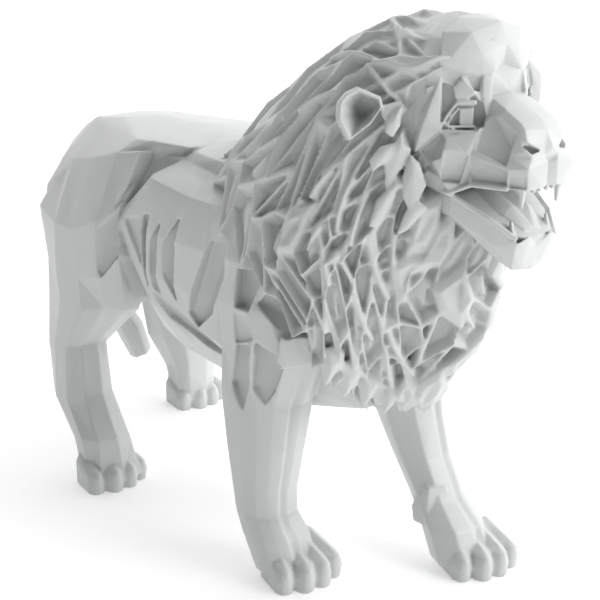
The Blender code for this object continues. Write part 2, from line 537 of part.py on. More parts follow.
# ---------------------------------------------------------------- ribs
def rib_slits():
    """Three upright grooves each side: (crest x, width, top, bottom), the crest in front."""
    out = []
    for s in (-1, 1):
        for i, (x, w, zt, zb) in enumerate(((-.126, .017, .492, .352), (-.092, .021, .490, .350), (-.055, .030, .492, .356))):
            y = .1575 + .0035 * i
            zm = zb + (zt - zb) * .56
            rim = [(x + .003, y + .002, zt), (x, y - .012, zb), (x - w, y, zm + .014), (x - w, y - .002, zm - .018)]
            valley = [(x - w * .62, y - SLIT_DEPTH, zm + .022), (x - w * .62, y - SLIT_DEPTH - .003, zm - .030)]
            mid = [sum(c) / 2 for c in zip(*valley)]
            outer = [lerp(mid, r, 1.8) for r in rim]
            out.append(hull('slit%d_%d' % (i, s), [(p[0], s * p[1], p[2]) for p in outer + valley]))
    return out


# ---------------------------------------------------------------- build
def parts():
    out = [loft('ribs', [half_ring(r) for r in RIBS]), loft('waist', [half_ring(r) for r in WAIST]),
           hull('rump', both(RUMP))]
    out.append(loft('leg_hr', THIGH + SHANK_FORWARD))
    out.append(loft('leg_hl', [[mirror(p) for p in ring] for ring in THIGH + SHANK_BACK]))
    out.append(front_leg('leg_fr', FRONT_RIGHT, -1, 0.0))
    out.append(front_leg('leg_fl', FRONT_LEFT, 1, .012))
    for s in (-1, 1):
        out.append(hull('pad%d' % s, [(.208, s * .168, .390), (.236, s * .142, .392), (.231, s * .140, .357),
                                      (.209, s * .176, .360), (.170, s * .130, .400), (.190, s * .120, .350)]))
    out += paw('paw_fr', .202, -.104, -.10)
    out += paw('paw_fl', .342, .108, -.20)
    out += paw('paw_hr', -.238, -.135, .02, height=.044)
    out += paw('paw_hl', -.446, .180, .04, height=.040, width=.027)
    out.append(hull('dew', [(.225, .070, .120), (.250, .062, .122), (.218, .060, .085), (.222, .060, .062),
                            (.250, .058, .062), (.260, .090, .062), (.235, .095, .062), (.235, .095, .12),
                            (.260, .09, .12)]))
    out.append(head('head'))
    out += jaw_parts() + eye_parts()
    out += [ear('ear_r', -1), ear('ear_l', 1)]
    out.append(mane('mane'))
    out.append(tail('tail'))
    return out


def unite(obs, name):
    """One body of all the pieces."""
    base = obs[0]
    rest = bpy.data.collections.new('rest')
    bpy.context.scene.collection.children.link(rest)
    for ob in obs[1:]:
        rest.objects.link(ob)
    mod = base.modifiers.new('join', 'BOOLEAN')
    mod.operation = 'UNION'
    mod.solver = 'EXACT'
    mod.operand_type = 'COLLECTION'
    mod.collection = rest
    dg = bpy.context.evaluated_depsgraph_get()
    me = bpy.data.meshes.new_from_object(base.evaluated_get(dg))
    for ob in obs:
        bpy.data.objects.remove(ob, do_unlink=True)
    bpy.data.collections.remove(rest)
    out = bpy.data.objects.new(name, me)
    bpy.context.scene.collection.objects.link(out)
    return out


def cut(ob, tools):
    for t in tools:
        mod = ob.modifiers.new('cut', 'BOOLEAN')
        mod.operation = 'DIFFERENCE'
        mod.solver = 'EXACT'
        mod.object = t
    dg = bpy.context.evaluated_depsgraph_get()
    me = bpy.data.meshes.new_from_object(ob.evaluated_get(dg))
    ob.modifiers.clear()
    ob.data = me
    for t in tools:
        bpy.data.objects.remove(t, do_unlink=True)


def tidy(ob):
    bm = bmesh.new()
    bm.from_mesh(ob.data)
    bmesh.ops.triangulate(bm, faces=bm.faces)
    bmesh.ops.remove_doubles(bm, verts=bm.verts, dist=1e-5)
    bmesh.ops.dissolve_degenerate(bm, edges=bm.edges, dist=1e-5)
    # flat soles: whatever lies a hair under the ground is brought to it
    for v in bm.verts:
        if abs(v.co.z) < 4e-4:
            v.co.z = 0.0
    bmesh.ops.triangulate(bm, faces=bm.faces)
    xs = [v.co.x for v in bm.verts]
    ys = [v.co.y for v in bm.verts]
    dx, dy = -(min(xs) + max(xs)) / 2, -(min(ys) + max(ys)) / 2
    for v in bm.verts:
        v.co.x += dx
        v.co.y += dy
    bm.to_mesh(ob.data)
    bm.free()
    return dx, dy


def main():
    clear()
    lion = unite(parts(), 'lion')
    cut(lion, rib_slits())
    moved = tidy(lion)
    mat = bpy.data.materials.new('white_resin')
    mat.use_nodes = True
    bsdf = mat.node_tree.nodes['Principled BSDF']
    bsdf.inputs['Base Color'].default_value = (.86, .87, .86, 1)
    bsdf.inputs['Roughness'].default_value = .28
    lion.data.materials.clear()
    lion.data.materials.append(mat)
    return lion, moved


LION, MOVED = main()
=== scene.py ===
"""The looks of the faceted resin lion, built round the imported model.

The whole animal is one casting, so it is one mesh here too: the trunk, legs, paws, head, mane and
tail are shaped as solids, fused by a fine voxel remesh, softened as a gel-coated casting is, and
thinned to the triangles that its shape needs.
"""
import json
import math
import bpy
import bmesh
import numpy as np
from mathutils import Vector, Matrix
from mathutils.bvhtree import BVHTree

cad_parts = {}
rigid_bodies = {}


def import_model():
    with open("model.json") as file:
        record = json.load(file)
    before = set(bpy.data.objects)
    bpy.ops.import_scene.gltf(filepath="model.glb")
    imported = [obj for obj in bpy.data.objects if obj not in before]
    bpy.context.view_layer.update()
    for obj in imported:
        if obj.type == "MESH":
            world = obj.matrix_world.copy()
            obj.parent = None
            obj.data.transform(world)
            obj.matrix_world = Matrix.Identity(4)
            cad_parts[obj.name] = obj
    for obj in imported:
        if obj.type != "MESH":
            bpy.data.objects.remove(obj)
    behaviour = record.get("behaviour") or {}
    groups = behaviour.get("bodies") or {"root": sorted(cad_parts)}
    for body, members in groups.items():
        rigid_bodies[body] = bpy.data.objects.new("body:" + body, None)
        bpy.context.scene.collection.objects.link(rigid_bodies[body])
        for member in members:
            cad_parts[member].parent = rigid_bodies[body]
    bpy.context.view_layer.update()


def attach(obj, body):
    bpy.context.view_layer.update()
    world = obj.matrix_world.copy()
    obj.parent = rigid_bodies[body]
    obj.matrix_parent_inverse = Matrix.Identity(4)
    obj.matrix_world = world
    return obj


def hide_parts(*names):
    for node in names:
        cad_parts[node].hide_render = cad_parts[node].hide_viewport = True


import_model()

# ---------------------------------------------------------------- main sizes
HEIGHT = 0.80            # ground to the crown of the mane
BACK_Z = 0.590           # ground to the spine
BELLY_Z = 0.235          # ground to the keel of the chest
HIP_HALF = 0.165         # half width over the thighs
CHEST_HALF = 0.170       # half width over the ribs
SHOULDER_HALF = 0.187    # half width over the shoulders
MANE_HALF = 0.190        # half width over the mane
TOE_W = 0.029            # width of one toe
TOE_H = 0.046            # height of a toe over the ground
MANE_COLS = 29           # locks round the neck
MANE_ROWS = 5            # locks from the face to the shoulder
LOCK_DEPTH = 0.015       # how far a lock is hollowed
RIDGE_LIFT = 0.006       # how much the ridges rise and fall
RIDGE_UP = 0.004         # ridges over the mean surface of the coat
RIDGE_SHARE = 0.34       # width of a ridge at its foot, as a share of half a lock
LEAN = 0.15              # how far the locks lean towards the chest, as a share of the way round
CROWD = 0.04             # how much closer they stand at the crown than at the chin
LOCK_JITTER = 0.20       # how unevenly the locks are laid, in lock widths


# ---------------------------------------------------------------- helpers
def clear():
    for ob in list(bpy.data.objects):
        bpy.data.objects.remove(ob, do_unlink=True)


def new_object(name, bm):
    bmesh.ops.recalc_face_normals(bm, faces=bm.faces)
    me = bpy.data.meshes.new(name)
    bm.to_mesh(me)
    bm.free()
    ob = bpy.data.objects.new(name, me)
    bpy.context.scene.collection.objects.link(ob)
    return ob


def hull(name, pts):
    bm = bmesh.new()
    vs = [bm.verts.new(p) for p in pts]
    got = bmesh.ops.convex_hull(bm, input=vs, use_existing_faces=False)
    loose = [g for g in got['geom_interior'] if isinstance(g, bmesh.types.BMVert)]
    loose += [v for v in bm.verts if not v.link_faces and v not in loose]
    if loose:
        bmesh.ops.delete(bm, geom=loose, context='VERTS')
    return new_object(name, bm)


def tri_quad(a, b, c, d):
    """Two triangles of a twisted quad, split so that the solid is the fuller one."""
    A, B, C, D = (Vector(p.co) for p in (a, b, c, d))
    if (B - A).cross(C - A).dot(D - A) > 0:
        return (a, b, d), (b, c, d)
    return (a, b, c), (a, c, d)


def loft(name, rings, full=True):
    """A closed solid through rings of the same number of points, ends closed by fans."""
    bm = bmesh.new()
    rows = [[bm.verts.new(p) for p in ring] for ring in rings]
    n = len(rows[0])
    mids = []
    for row in (rows[0], rows[-1]):
        mids.append(bm.verts.new(sum((v.co for v in row), Vector()) / n))
    for r0, r1 in zip(rows, rows[1:]):
        for i in range(n):
            k = (i + 1) % n
            q = (r0[i], r0[k], r1[k], r1[i])
            for t in tri_quad(*q):
                bm.faces.new(t)
    for i in range(n):
        k = (i + 1) % n
        bm.faces.new((rows[0][k], rows[0][i], mids[0]))
        bm.faces.new((rows[-1][i], rows[-1][k], mids[1]))
    return new_object(name, bm)


def mirror(p):
    return (p[0], -p[1], p[2])


def both(pts):
    """The points of the right half with their mirror images."""
    return list(pts) + [mirror(p) for p in pts if abs(p[1]) > 1e-6]


def lerp(a, b, t):
    return tuple(x + (y - x) * t for x, y in zip(a, b))


def noise(i, j, k):
    """A fixed scatter from 0 to 1 for lock i, j; the same every time."""
    v = math.sin(i * 127.1 + j * 311.7 + k * 74.7) * 43758.5453
    return v - math.floor(v)


def bar(name, p, q, r, up=(0, 0, 1), taper=1.0, sides=4):
    """A straight bar from p to q; r is its half thickness."""
    p, q = Vector(p), Vector(q)
    d = (q - p).normalized()
    u = Vector(up)
    u = (u - d * u.dot(d)).normalized()
    w = d.cross(u)
    rings = []
    for c, s in ((p, r), (q, r * taper)):
        rings.append([tuple(c + (u * math.cos(a) + w * math.sin(a)) * s)
                      for a in (2 * math.pi * (i + 0.5) / sides for i in range(sides))])
    return loft(name, rings)


# ---------------------------------------------------------------- trunk
# One row for each cross section, from the back of the ribs to the neck.  Each row holds the
# right half: spine, edge of the back, foot of the back step, edge of the shelf, the ribs,
# lower ribs, belly edge, keel edge, keel.
RIBS = [
    [(-.130, 0, .584), (-.125, -.070, .570), (-.118, -.085, .562), (-.130, -.132, .545), (-.228, -.138, .461),
     (-.198, -.126, .390), (-.192, -.108, .338), (-.195, -.080, .282), (-.190, 0, .262)],
    [(-.100, 0, .587), (-.096, -.078, .573), (-.092, -.090, .559), (-.122, -.145, .540), (-.193, -.153, .462),
     (-.168, -.148, .400), (-.150, -.134, .346), (-.154, -.070, .256), (-.150, 0, .245)],
    [(-.050, 0, .591), (-.040, -.088, .573), (-.037, -.097, .555), (-.017, -.151, .531), (-.100, -.161, .462),
     (-.100, -.158, .400), (-.100, -.140, .355), (-.082, -.062, .244), (-.080, 0, .235)],
    [(.050, 0, .600), (.049, -.100, .573), (.045, -.109, .550), (.033, -.153, .532), (.030, -.168, .470),
     (.020, -.160, .395), (-.020, -.136, .335), (.000, -.062, .236), (.000, 0, .228)],
    [(.150, 0, .612), (.150, -.100, .585), (.150, -.110, .560), (.130, -.150, .540), (.120, -.170, .470),
     (.120, -.160, .380), (.080, -.130, .310), (.100, -.062, .238), (.100, 0, .232)],
    [(.260, 0, .600), (.260, -.080, .570), (.260, -.090, .550), (.250, -.110, .530), (.250, -.120, .450),
     (.250, -.110, .380), (.240, -.090, .320), (.240, -.060, .275), (.240, 0, .270)],
]
# The waist that carries the hips, same idea with fewer points: spine, top, side, low, keel.
WAIST = [
    [(-.470, 0, .520), (-.460, -.070, .510), (-.460, -.100, .440), (-.450, -.070, .350), (-.450, 0, .340)],
    [(-.300, 0, .578), (-.300, -.090, .560), (-.300, -.118, .460), (-.300, -.088, .345), (-.300, 0, .310)],
    [(-.190, 0, .583), (-.190, -.100, .562), (-.180, -.128, .460), (-.185, -.092, .310), (-.190, 0, .270)],
    [(-.060, 0, .580), (-.060, -.080, .560), (-.060, -.120, .460), (-.060, -.080, .290), (-.060, 0, .250)],
]
# The rump: a convex block.  Right half.
RUMP = [
    (-.340, -.045, .588), (-.425, -.042, .577), (-.476, -.032, .556), (-.512, -.038, .525),
    (-.545, -.030, .480), (-.560, -.030, .425), (-.548, -.030, .365), (-.450, -.088, .521),
    (-.385, -.115, .522), (-.222, -.135, .561), (-.205, -.110, .581), (-.170, -.105, .582),
    (-.112, -.078, .577), (-.300, 0, .5925), (-.500, -.100, .458), (-.516, -.100, .400),
    (-.470, -.110, .340), (-.215, 0, .592), (-.300, -.120, .450), (-.450, 0, .340),
]


def half_ring(row):
    """The right half closed with its mirror image."""
    return list(row) + [mirror(p) for p in reversed(row[1:-1])]


# ---------------------------------------------------------------- hind legs
# Columns round the leg: rear, rear outer, outer, middle outer, front outer, front inner,
# inner, rear inner.  Right leg; the thigh rings serve the left leg mirrored.
THIGH = [
    [(-.450, -.085, .518), (-.385, -.115, .520), (-.300, -.128, .541), (-.222, -.136, .560), (-.168, -.130, .571),
     (-.170, -.060, .555), (-.260, -.030, .530), (-.420, -.030, .505)],
    [(-.493, -.121, .428), (-.392, -.152, .423), (-.325, -.162, .426), (-.242, -.166, .455), (-.206, -.150, .475),
     (-.200, -.070, .450), (-.280, -.030, .420), (-.460, -.040, .410)],
    [(-.468, -.125, .345), (-.385, -.158, .345), (-.304, -.166, .352), (-.230, -.170, .370), (-.200, -.155, .409),
     (-.195, -.080, .390), (-.280, -.040, .360), (-.430, -.060, .340)],
]
SHANK_FORWARD = [          # right leg: under the body, hock upright
    [(-.450, -.137, .290), (-.368, -.163, .300), (-.294, -.168, .302), (-.246, -.156, .314), (-.232, -.124, .308),
     (-.246, -.092, .300), (-.310, -.068, .290), (-.405, -.088, .290)],
    [(-.444, -.146, .205), (-.395, -.163, .212), (-.350, -.169, .222), (-.322, -.156, .232), (-.316, -.128, .232),
     (-.328, -.104, .226), (-.365, -.095, .218), (-.415, -.108, .208)],
    [(-.432, -.148, .122), (-.395, -.166, .124), (-.350, -.172, .134), (-.308, -.162, .146), (-.298, -.134, .150),
     (-.314, -.106, .146), (-.355, -.094, .130), (-.410, -.108, .118)],
    [(-.350, -.155, .066), (-.328, -.174, .074), (-.296, -.180, .082), (-.266, -.168, .086), (-.256, -.136, .082),
     (-.268, -.104, .076), (-.295, -.094, .072), (-.334, -.108, .066)],
    [(-.330, -.155, .020), (-.315, -.172, .015), (-.285, -.176, .015), (-.255, -.168, .015), (-.240, -.134, .015),
     (-.245, -.100, .015), (-.280, -.092, .015), (-.320, -.110, .015)],
]
SHANK_BACK = [             # left leg, written on the right side and mirrored: pushed back
    [(-.505, -.130, .290), (-.465, -.165, .300), (-.400, -.172, .300), (-.335, -.162, .310), (-.300, -.130, .310),
     (-.320, -.088, .300), (-.400, -.065, .290), (-.480, -.090, .280)],
    [(-.578, -.142, .205), (-.556, -.172, .210), (-.505, -.187, .215), (-.455, -.182, .222), (-.430, -.150, .225),
     (-.440, -.115, .220), (-.490, -.100, .210), (-.552, -.112, .200)],
    [(-.572, -.148, .135), (-.552, -.180, .140), (-.510, -.196, .145), (-.455, -.190, .152), (-.425, -.160, .156),
     (-.435, -.125, .150), (-.480, -.110, .140), (-.545, -.120, .130)],
    [(-.530, -.155, .072), (-.512, -.196, .076), (-.478, -.212, .086), (-.450, -.206, .092), (-.430, -.172, .094),
     (-.436, -.136, .090), (-.462, -.126, .084), (-.512, -.136, .072)],
    [(-.512, -.160, .015), (-.500, -.196, .015), (-.478, -.208, .015), (-.455, -.204, .015), (-.440, -.176, .015),
     (-.445, -.146, .015), (-.465, -.132, .015), (-.500, -.140, .015)],
]

# ---------------------------------------------------------------- front legs
# Columns: rear, rear outer, outer a, outer b, front outer, lip, groove, lip, front inner,
# inner, rear inner.
SHOULDER = [
    [(.030, -.110, .540), (.060, -.140, .530), (.115, -.150, .520), (.170, -.150, .520), (.210, -.140, .520),
     (.240, -.120, .520), (.245, -.110, .520), (.250, -.090, .520), (.250, -.060, .520), (.140, -.030, .520),
     (.040, -.060, .520)],
    [(.030, -.120, .462), (.062, -.160, .458), (.117, -.172, .463), (.173, -.178, .472), (.215, -.170, .465),
     (.245, -.140, .460), (.250, -.125, .460), (.255, -.110, .460), (.250, -.080, .460), (.150, -.040, .460),
     (.040, -.070, .460)],
    [(.020, -.130, .400), (.058, -.162, .404), (.111, -.177, .412), (.150, -.187, .419), (.190, -.182, .425),
     (.235, -.155, .415), (.240, -.140, .415), (.245, -.125, .410), (.235, -.085, .400), (.140, -.050, .400),
     (.030, -.080, .400)],
    [(.025, -.128, .340), (.060, -.158, .345), (.105, -.173, .355), (.149, -.184, .368), (.208, -.170, .362),
     (.222, -.145, .355), (.224, -.135, .353), (.226, -.122, .350), (.215, -.085, .345), (.140, -.055, .340),
     (.045, -.080, .335)],
]
# Template of the lower leg seen from above: (along, across) in leg half sizes.
LEG_SHAPE = [(-1.00, .25), (-.62, .92), (-.05, 1.00), (.50, .92), (.80, .66), (1.00, .36),
             (.90, .18), (1.00, -.04), (.85, -.62), (.05, -1.00), (-.72, -.70)]
FRONT_RIGHT = [            # (x, y, z, half length, half width) down the leg
    (.110, -.118, .276, .070, .052), (.107, -.119, .200, .058, .046), (.104, -.118, .135, .046, .041),
    (.106, -.116, .098, .042, .041), (.122, -.112, .068, .044, .046), (.142, -.108, .015, .040, .044),
]
FRONT_LEFT = [
    (.123, .112, .300, .070, .052), (.161, .106, .209, .054, .046), (.191, .102, .155, .045, .041),
    (.230, .100, .098, .039, .039), (.260, .099, .066, .044, .046), (.283, .099, .015, .042, .046),
]


def front_leg(name, rows, side, shoulder_shift):
    rings = []
    for row in SHOULDER:
        rings.append([(x + shoulder_shift, y * -side, z) for x, y, z in row])
    for x, y, z, a, b in rows:
        rings.append([(x + a * u, y + side * b * v, z) for u, v in LEG_SHAPE])
    return loft(name, rings)


def toe(name, x, y, heading, width, height, length, lift=0.0):
    """One toe: a full block, its front upright with a soft keel, its back rising to the ankle."""
    c, s = math.cos(heading), math.sin(heading)
    h, w = height, width / 2

    def at(u, v, z):
        return (x + c * u - s * v, y + s * u + c * v, z)
    pts = [at(.002, 0, 0), at(.006, 0, h * .46), at(.003, 0, h * .82), at(-.012, 0, h * 1.02),
           at(-length, 0, h * 1.46 + lift)]
    for e in (-1, 1):
        pts += [at(0, e * w * .50, 0), at(.003, e * w * .52, h * .48), at(-.001, e * w * .46, h * .80),
                at(-.010, e * w * .92, 0), at(-.009, e * w * .97, h * .48), at(-.014, e * w * .80, h * .84),
                at(-length, e * w, 0), at(-length, e * w, h * .98 + lift), at(-length, e * w * .6, h * 1.32 + lift)]
    return hull(name, pts)


def paw(name, x, y, heading, height=TOE_H, width=TOE_W, toes=4, length=.075, lift=0.0):
    """Four toes in an arc; x, y is the middle of the arc on the ground."""
    out = []
    c, s = math.cos(heading), math.sin(heading)
    for i in range(toes):
        v = i - (toes - 1) / 2
        back = .0065 * abs(v) ** 2.0
        fan = heading + v * .13
        across = v * width * .98
        out.append(toe('%s_toe%d' % (name, i), x - c * back - s * across, y - s * back + c * across,
                       fan, width * 1.06, height * (1.0 - .05 * abs(v)), length - back, lift))
    # the flesh of the paw between and behind the toes
    span = (toes - 1) / 2 * width
    web = []
    for u, v, z in [(-.016, 0, .70), (-.016, .45, .68), (-.024, 1.06, .52), (-length * .9, 1.0, 1.02), (-length * .9, .5, 1.28),
                    (-length * .9, 0, 1.40), (-.016, .45, 0), (-.026, 1.10, 0), (-length * .9, 1.05, 0)]:
        for e in (-1, 1):
            k = span * v * e
            web.append((x + c * u - s * k, y + s * u + c * k, height * z + (lift if u < -.05 else 0)))
    out.append(hull(name + '_web', web))
    return out


# ---------------------------------------------------------------- head
# Right half of the upper head.  First the middle line from the forehead to the palate.
HEAD = {
    'crown': (.330, 0, .800), 'fore_top': (.375, 0, .797), 'fore': (.400, 0, .777), 'frown': (.404, 0, .744),
    'bridge': (.416, 0, .715), 'bridge_low': (.464, 0, .689), 'nose_top': (.474, 0, .678),
    'nose_tip': (.486, 0, .658), 'philtrum': (.477, 0, .641), 'lip_mid': (.477, 0, .613),
    'palate': (.438, 0, .618), 'palate_back': (.370, 0, .625),
    'br1': (.410, -.027, .711), 'br2': (.440, -.031, .698), 'br3': (.461, -.030, .686),
    'nose_side': (.467, -.030, .680), 'nose_wing': (.476, -.034, .659), 'wing_back': (.456, -.041, .663),
    'nose_low': (.483, -.013, .650),
    'muz_to': (.460, -.044, .648), 'muz_ti': (.479, -.030, .649), 'muz_mo': (.463, -.049, .636),
    'muz_mi': (.483, -.040, .638), 'muz_bo': (.462, -.046, .612), 'muz_bi': (.479, -.034, .611),
    'muz_ft': (.485, -.009, .644), 'muz_fb': (.484, -.011, .613),
    'sn_b': (.414, -.062, .648), 'sn_c': (.418, -.060, .612),
    'eye_in': (.405, -.036, .676), 'eye_out': (.376, -.073, .673), 'socket': (.388, -.051, .689),
    'lid_o': (.389, -.061, .702), 'lid_i': (.401, -.041, .704),
    'brow_in': (.412, -.024, .736), 'brow_spike': (.413, -.033, .689), 'brow_mid': (.405, -.039, .733),
    'brow_low': (.405, -.048, .715), 'brow_peak': (.393, -.056, .735), 'brow_out': (.384, -.062, .721),
    'tmp_lo': (.374, -.077, .727), 'tmp_hi': (.370, -.080, .750), 'fore_side': (.384, -.052, .776),
    'ck_b': (.390, -.077, .666), 'ck_c': (.417, -.055, .673), 'ck_d': (.414, -.066, .649),
    'ck_e': (.394, -.082, .652), 'ck_f': (.378, -.087, .639), 'ck_g': (.389, -.080, .610),
    'ck_a': (.358, -.087, .647), 'tmp_mid': (.350, -.090, .690), 'lip_c': (.395, -.072, .600),
    'back_top': (.270, -.070, .770), 'back_side': (.270, -.100, .690), 'back_low': (.290, -.090, .610),
    'back_mid': (.270, 0, .790), 'back_pal': (.290, 0, .620), 'pal_side': (.415, -.046, .614),
    'pal_front': (.458, -.034, .611), 'pal_back': (.350, -.060, .612),
}
HEAD_FACES = [
    ('crown', 'fore_top', 'fore_side'), ('fore_top', 'fore', 'fore_side'), ('fore', 'frown', 'brow_in'),
    ('fore', 'brow_in', 'fore_side'), ('fore_side', 'brow_in', 'brow_mid'), ('fore_side', 'brow_mid', 'brow_peak'),
    ('fore_side', 'brow_peak', 'tmp_hi'), ('brow_peak', 'brow_out', 'tmp_hi'), ('tmp_hi', 'brow_out', 'tmp_lo'),
    ('brow_peak', 'brow_low', 'brow_out'), ('brow_peak', 'brow_mid', 'brow_low'), ('brow_mid', 'brow_in', 'brow_spike'),
    ('brow_low', 'brow_mid', 'brow_spike'), ('brow_low', 'brow_spike', 'lid_i'), ('brow_low', 'lid_i', 'lid_o'),
    ('brow_out', 'brow_low', 'lid_o'), ('tmp_lo', 'brow_out', 'lid_o'), ('tmp_lo', 'lid_o', 'eye_out'),
    ('lid_o', 'lid_i', 'socket'), ('lid_i', 'brow_spike', 'eye_in'), ('lid_i', 'eye_in', 'socket'),
    ('socket', 'eye_in', 'eye_out'), ('lid_o', 'socket', 'eye_out'),
    ('frown', 'bridge', 'brow_in'), ('bridge', 'br1', 'brow_in'), ('brow_in', 'br1', 'brow_spike'),
    ('bridge', 'bridge_low', 'br2'), ('bridge', 'br2', 'br1'), ('bridge_low', 'br3', 'br2'),
    ('bridge_low', 'nose_top', 'nose_side'), ('bridge_low', 'nose_side', 'br3'),
    ('nose_top', 'nose_tip', 'nose_low'), ('nose_top', 'nose_low', 'nose_side'),
    ('nose_side', 'nose_low', 'nose_wing'), ('nose_side', 'nose_wing', 'wing_back'),
    ('br3', 'nose_side', 'wing_back'), ('nose_tip', 'philtrum', 'nose_low'), ('nose_low', 'philtrum', 'muz_ft'),
    ('nose_low', 'muz_ft', 'muz_ti'), ('nose_wing', 'nose_low', 'muz_ti'), ('nose_wing', 'muz_ti', 'muz_to'),
    ('wing_back', 'nose_wing', 'muz_to'), ('muz_to', 'muz_ti', 'muz_mi'), ('muz_to', 'muz_mi', 'muz_mo'),
    ('muz_mo', 'muz_mi', 'muz_bi'), ('muz_mo', 'muz_bi', 'muz_bo'), ('muz_ti', 'muz_ft', 'muz_mi'),
    ('muz_mi', 'muz_ft', 'muz_fb'), ('muz_mi', 'muz_fb', 'muz_bi'), ('muz_ft', 'philtrum', 'lip_mid'),
    ('muz_ft', 'lip_mid', 'muz_fb'),
    ('br1', 'br2', 'brow_spike'), ('br2', 'ck_c', 'brow_spike'), ('brow_spike', 'ck_c', 'eye_in'), ('br2', 'br3', 'wing_back'), ('br2', 'wing_back', 'sn_b'), ('sn_b', 'wing_back', 'muz_to'),
    ('sn_b', 'muz_to', 'muz_mo'), ('sn_b', 'muz_mo', 'muz_bo'), ('sn_b', 'muz_bo', 'sn_c'),
    ('br2', 'sn_b', 'ck_c'),
    ('eye_in', 'ck_c', 'ck_b'), ('eye_in', 'ck_b', 'eye_out'), ('ck_b', 'ck_c', 'ck_d'), ('ck_b', 'ck_d', 'ck_e'),
    ('ck_c', 'sn_b', 'ck_d'), ('eye_out', 'ck_b', 'ck_a'), ('ck_b', 'ck_e', 'ck_f'), ('ck_b', 'ck_f', 'ck_a'),
    ('ck_e', 'ck_d', 'ck_g'), ('ck_e', 'ck_g', 'ck_f'), ('ck_d', 'sn_b', 'sn_c'), ('ck_d', 'sn_c', 'ck_g'),
    ('sn_c', 'lip_c', 'ck_g'), ('ck_f', 'ck_g', 'lip_c'), ('ck_a', 'ck_f', 'lip_c'),
    ('tmp_lo', 'eye_out', 'tmp_mid'), ('eye_out', 'ck_a', 'tmp_mid'), ('tmp_hi', 'tmp_lo', 'tmp_mid'),
    ('crown', 'fore_side', 'back_top'), ('fore_side', 'tmp_hi', 'back_top'), ('tmp_hi', 'tmp_mid', 'back_side'),
    ('tmp_hi', 'back_side', 'back_top'), ('tmp_mid', 'ck_a', 'back_side'), ('ck_a', 'lip_c', 'back_low'),
    ('ck_a', 'back_low', 'back_side'), ('crown', 'back_top', 'back_mid'),
    ('lip_mid', 'pal_front', 'muz_fb'), ('muz_fb', 'pal_front', 'muz_bi'), ('muz_bi', 'pal_front', 'muz_bo'),
    ('pal_front', 'pal_side', 'muz_bo'), ('muz_bo', 'pal_side', 'sn_c'), ('sn_c', 'pal_side', 'lip_c'),
    ('lip_mid', 'palate', 'pal_front'), ('palate', 'pal_side', 'pal_front'), ('palate', 'palate_back', 'pal_side'),
    ('pal_side', 'pal_back', 'lip_c'), ('palate_back', 'pal_back', 'pal_side'), ('lip_c', 'pal_back', 'back_low'),
    ('palate_back', 'back_pal', 'pal_back'), ('pal_back', 'back_pal', 'back_low'),
    ('back_mid', 'back_top', 'back_side'), ('back_mid', 'back_side', 'back_low'), ('back_mid', 'back_low', 'back_pal'),
]


def head(name):
    bm = bmesh.new()
    right = {k: bm.verts.new(p) for k, p in HEAD.items()}
    left = {k: (right[k] if abs(HEAD[k][1]) < 1e-9 else bm.verts.new(mirror(HEAD[k]))) for k in HEAD}
    for f in HEAD_FACES:
        bm.faces.new([right[k] for k in f])
        bm.faces.new([left[k] for k in reversed(f)])
    return new_object(name, bm)


def jaw_parts():
    out = []
    # the lower jaw: a trough, rings from the hinge to the chin
    # outer top, outer bottom, keel side, keel middle ... and the inside of the trough
    rows = [
        [(.330, -.062, .604), (.330, -.058, .575), (.340, -.030, .560), (.345, 0, .556),
         (.345, 0, .590), (.340, -.042, .592)],
        [(.394, -.070, .597), (.392, -.068, .573), (.390, -.034, .545), (.390, 0, .540),
         (.394, 0, .568), (.395, -.050, .578)],
        [(.442, -.054, .572), (.443, -.050, .544), (.436, -.030, .519), (.434, 0, .515),
         (.437, 0, .545), (.440, -.038, .556)],
        [(.469, -.036, .548), (.465, -.035, .537), (.455, -.027, .511), (.453, 0, .509),
         (.458, 0, .536), (.462, -.026, .542)],
        [(.474, -.020, .556), (.470, -.020, .540), (.460, -.015, .511), (.461, 0, .509),
         (.467, 0, .546), (.469, -.016, .551)],
    ]
    rings = [row[:4] + [mirror(p) for p in (row[2], row[1], row[0])] + [mirror(row[5]), row[4], row[5]]
             for row in rows]
    out.append(loft('jaw', rings))
    # tongue: a low ridge lying in the trough
    for s in (-1, 1):
        out.append(hull('tongue%d' % s, [(.362, s * .002, .604), (.362, s * .032, .597), (.400, s * .001, .598),
                                         (.400, s * .033, .588), (.438, s * .0005, .579), (.438, s * .027, .575),
                                         (.464, s * .001, .560), (.462, s * .014, .558), (.400, s * .017, .602),
                                         (.438, s * .014, .584), (.440, 0, .530), (.380, 0, .550), (.420, s * .03, .550)]))
    out.append(hull('mouth_floor', both([(.335, -.056, .604), (.394, -.062, .596), (.440, -.047, .571), (.465, -.026, .553),
                                         (.470, 0, .550), (.340, -.040, .570), (.440, -.030, .535), (.462, 0, .535),
                                         (.400, -.040, .560)])))
    for s in (-1, 1):
        out.append(bar('fang_up%d' % s, (.470, s * .032, .622), (.468, s * .031, .588), .0070, up=(1, 0, 0), taper=.30,
                       sides=5))
        out.append(bar('fang_lo%d' % s, (.459, s * .032, .540), (.454, s * .031, .571), .0075, up=(1, 0, 0), taper=.30,
                       sides=5))
    # small front teeth
    for i, y in enumerate((-.017, -.006, .006, .017)):
        out.append(bar('tooth%d' % i, (.474, y, .620), (.472, y, .606), .0055, up=(1, 0, 0), taper=.6))
    return out


def eye_parts():
    out = []
    for s in (-1, 1):
        def p(x, y, z):
            return (x, s * y, z)
        out.append(hull('iris%d' % s, [p(.3925, .0590, .6978), p(.4035, .0465, .6978), p(.3925, .0590, .6795),
                                       p(.4035, .0465, .6795), p(.378, .046, .701), p(.378, .046, .677),
                                       p(.393, .036, .701), p(.393, .036, .677)]))
    return out


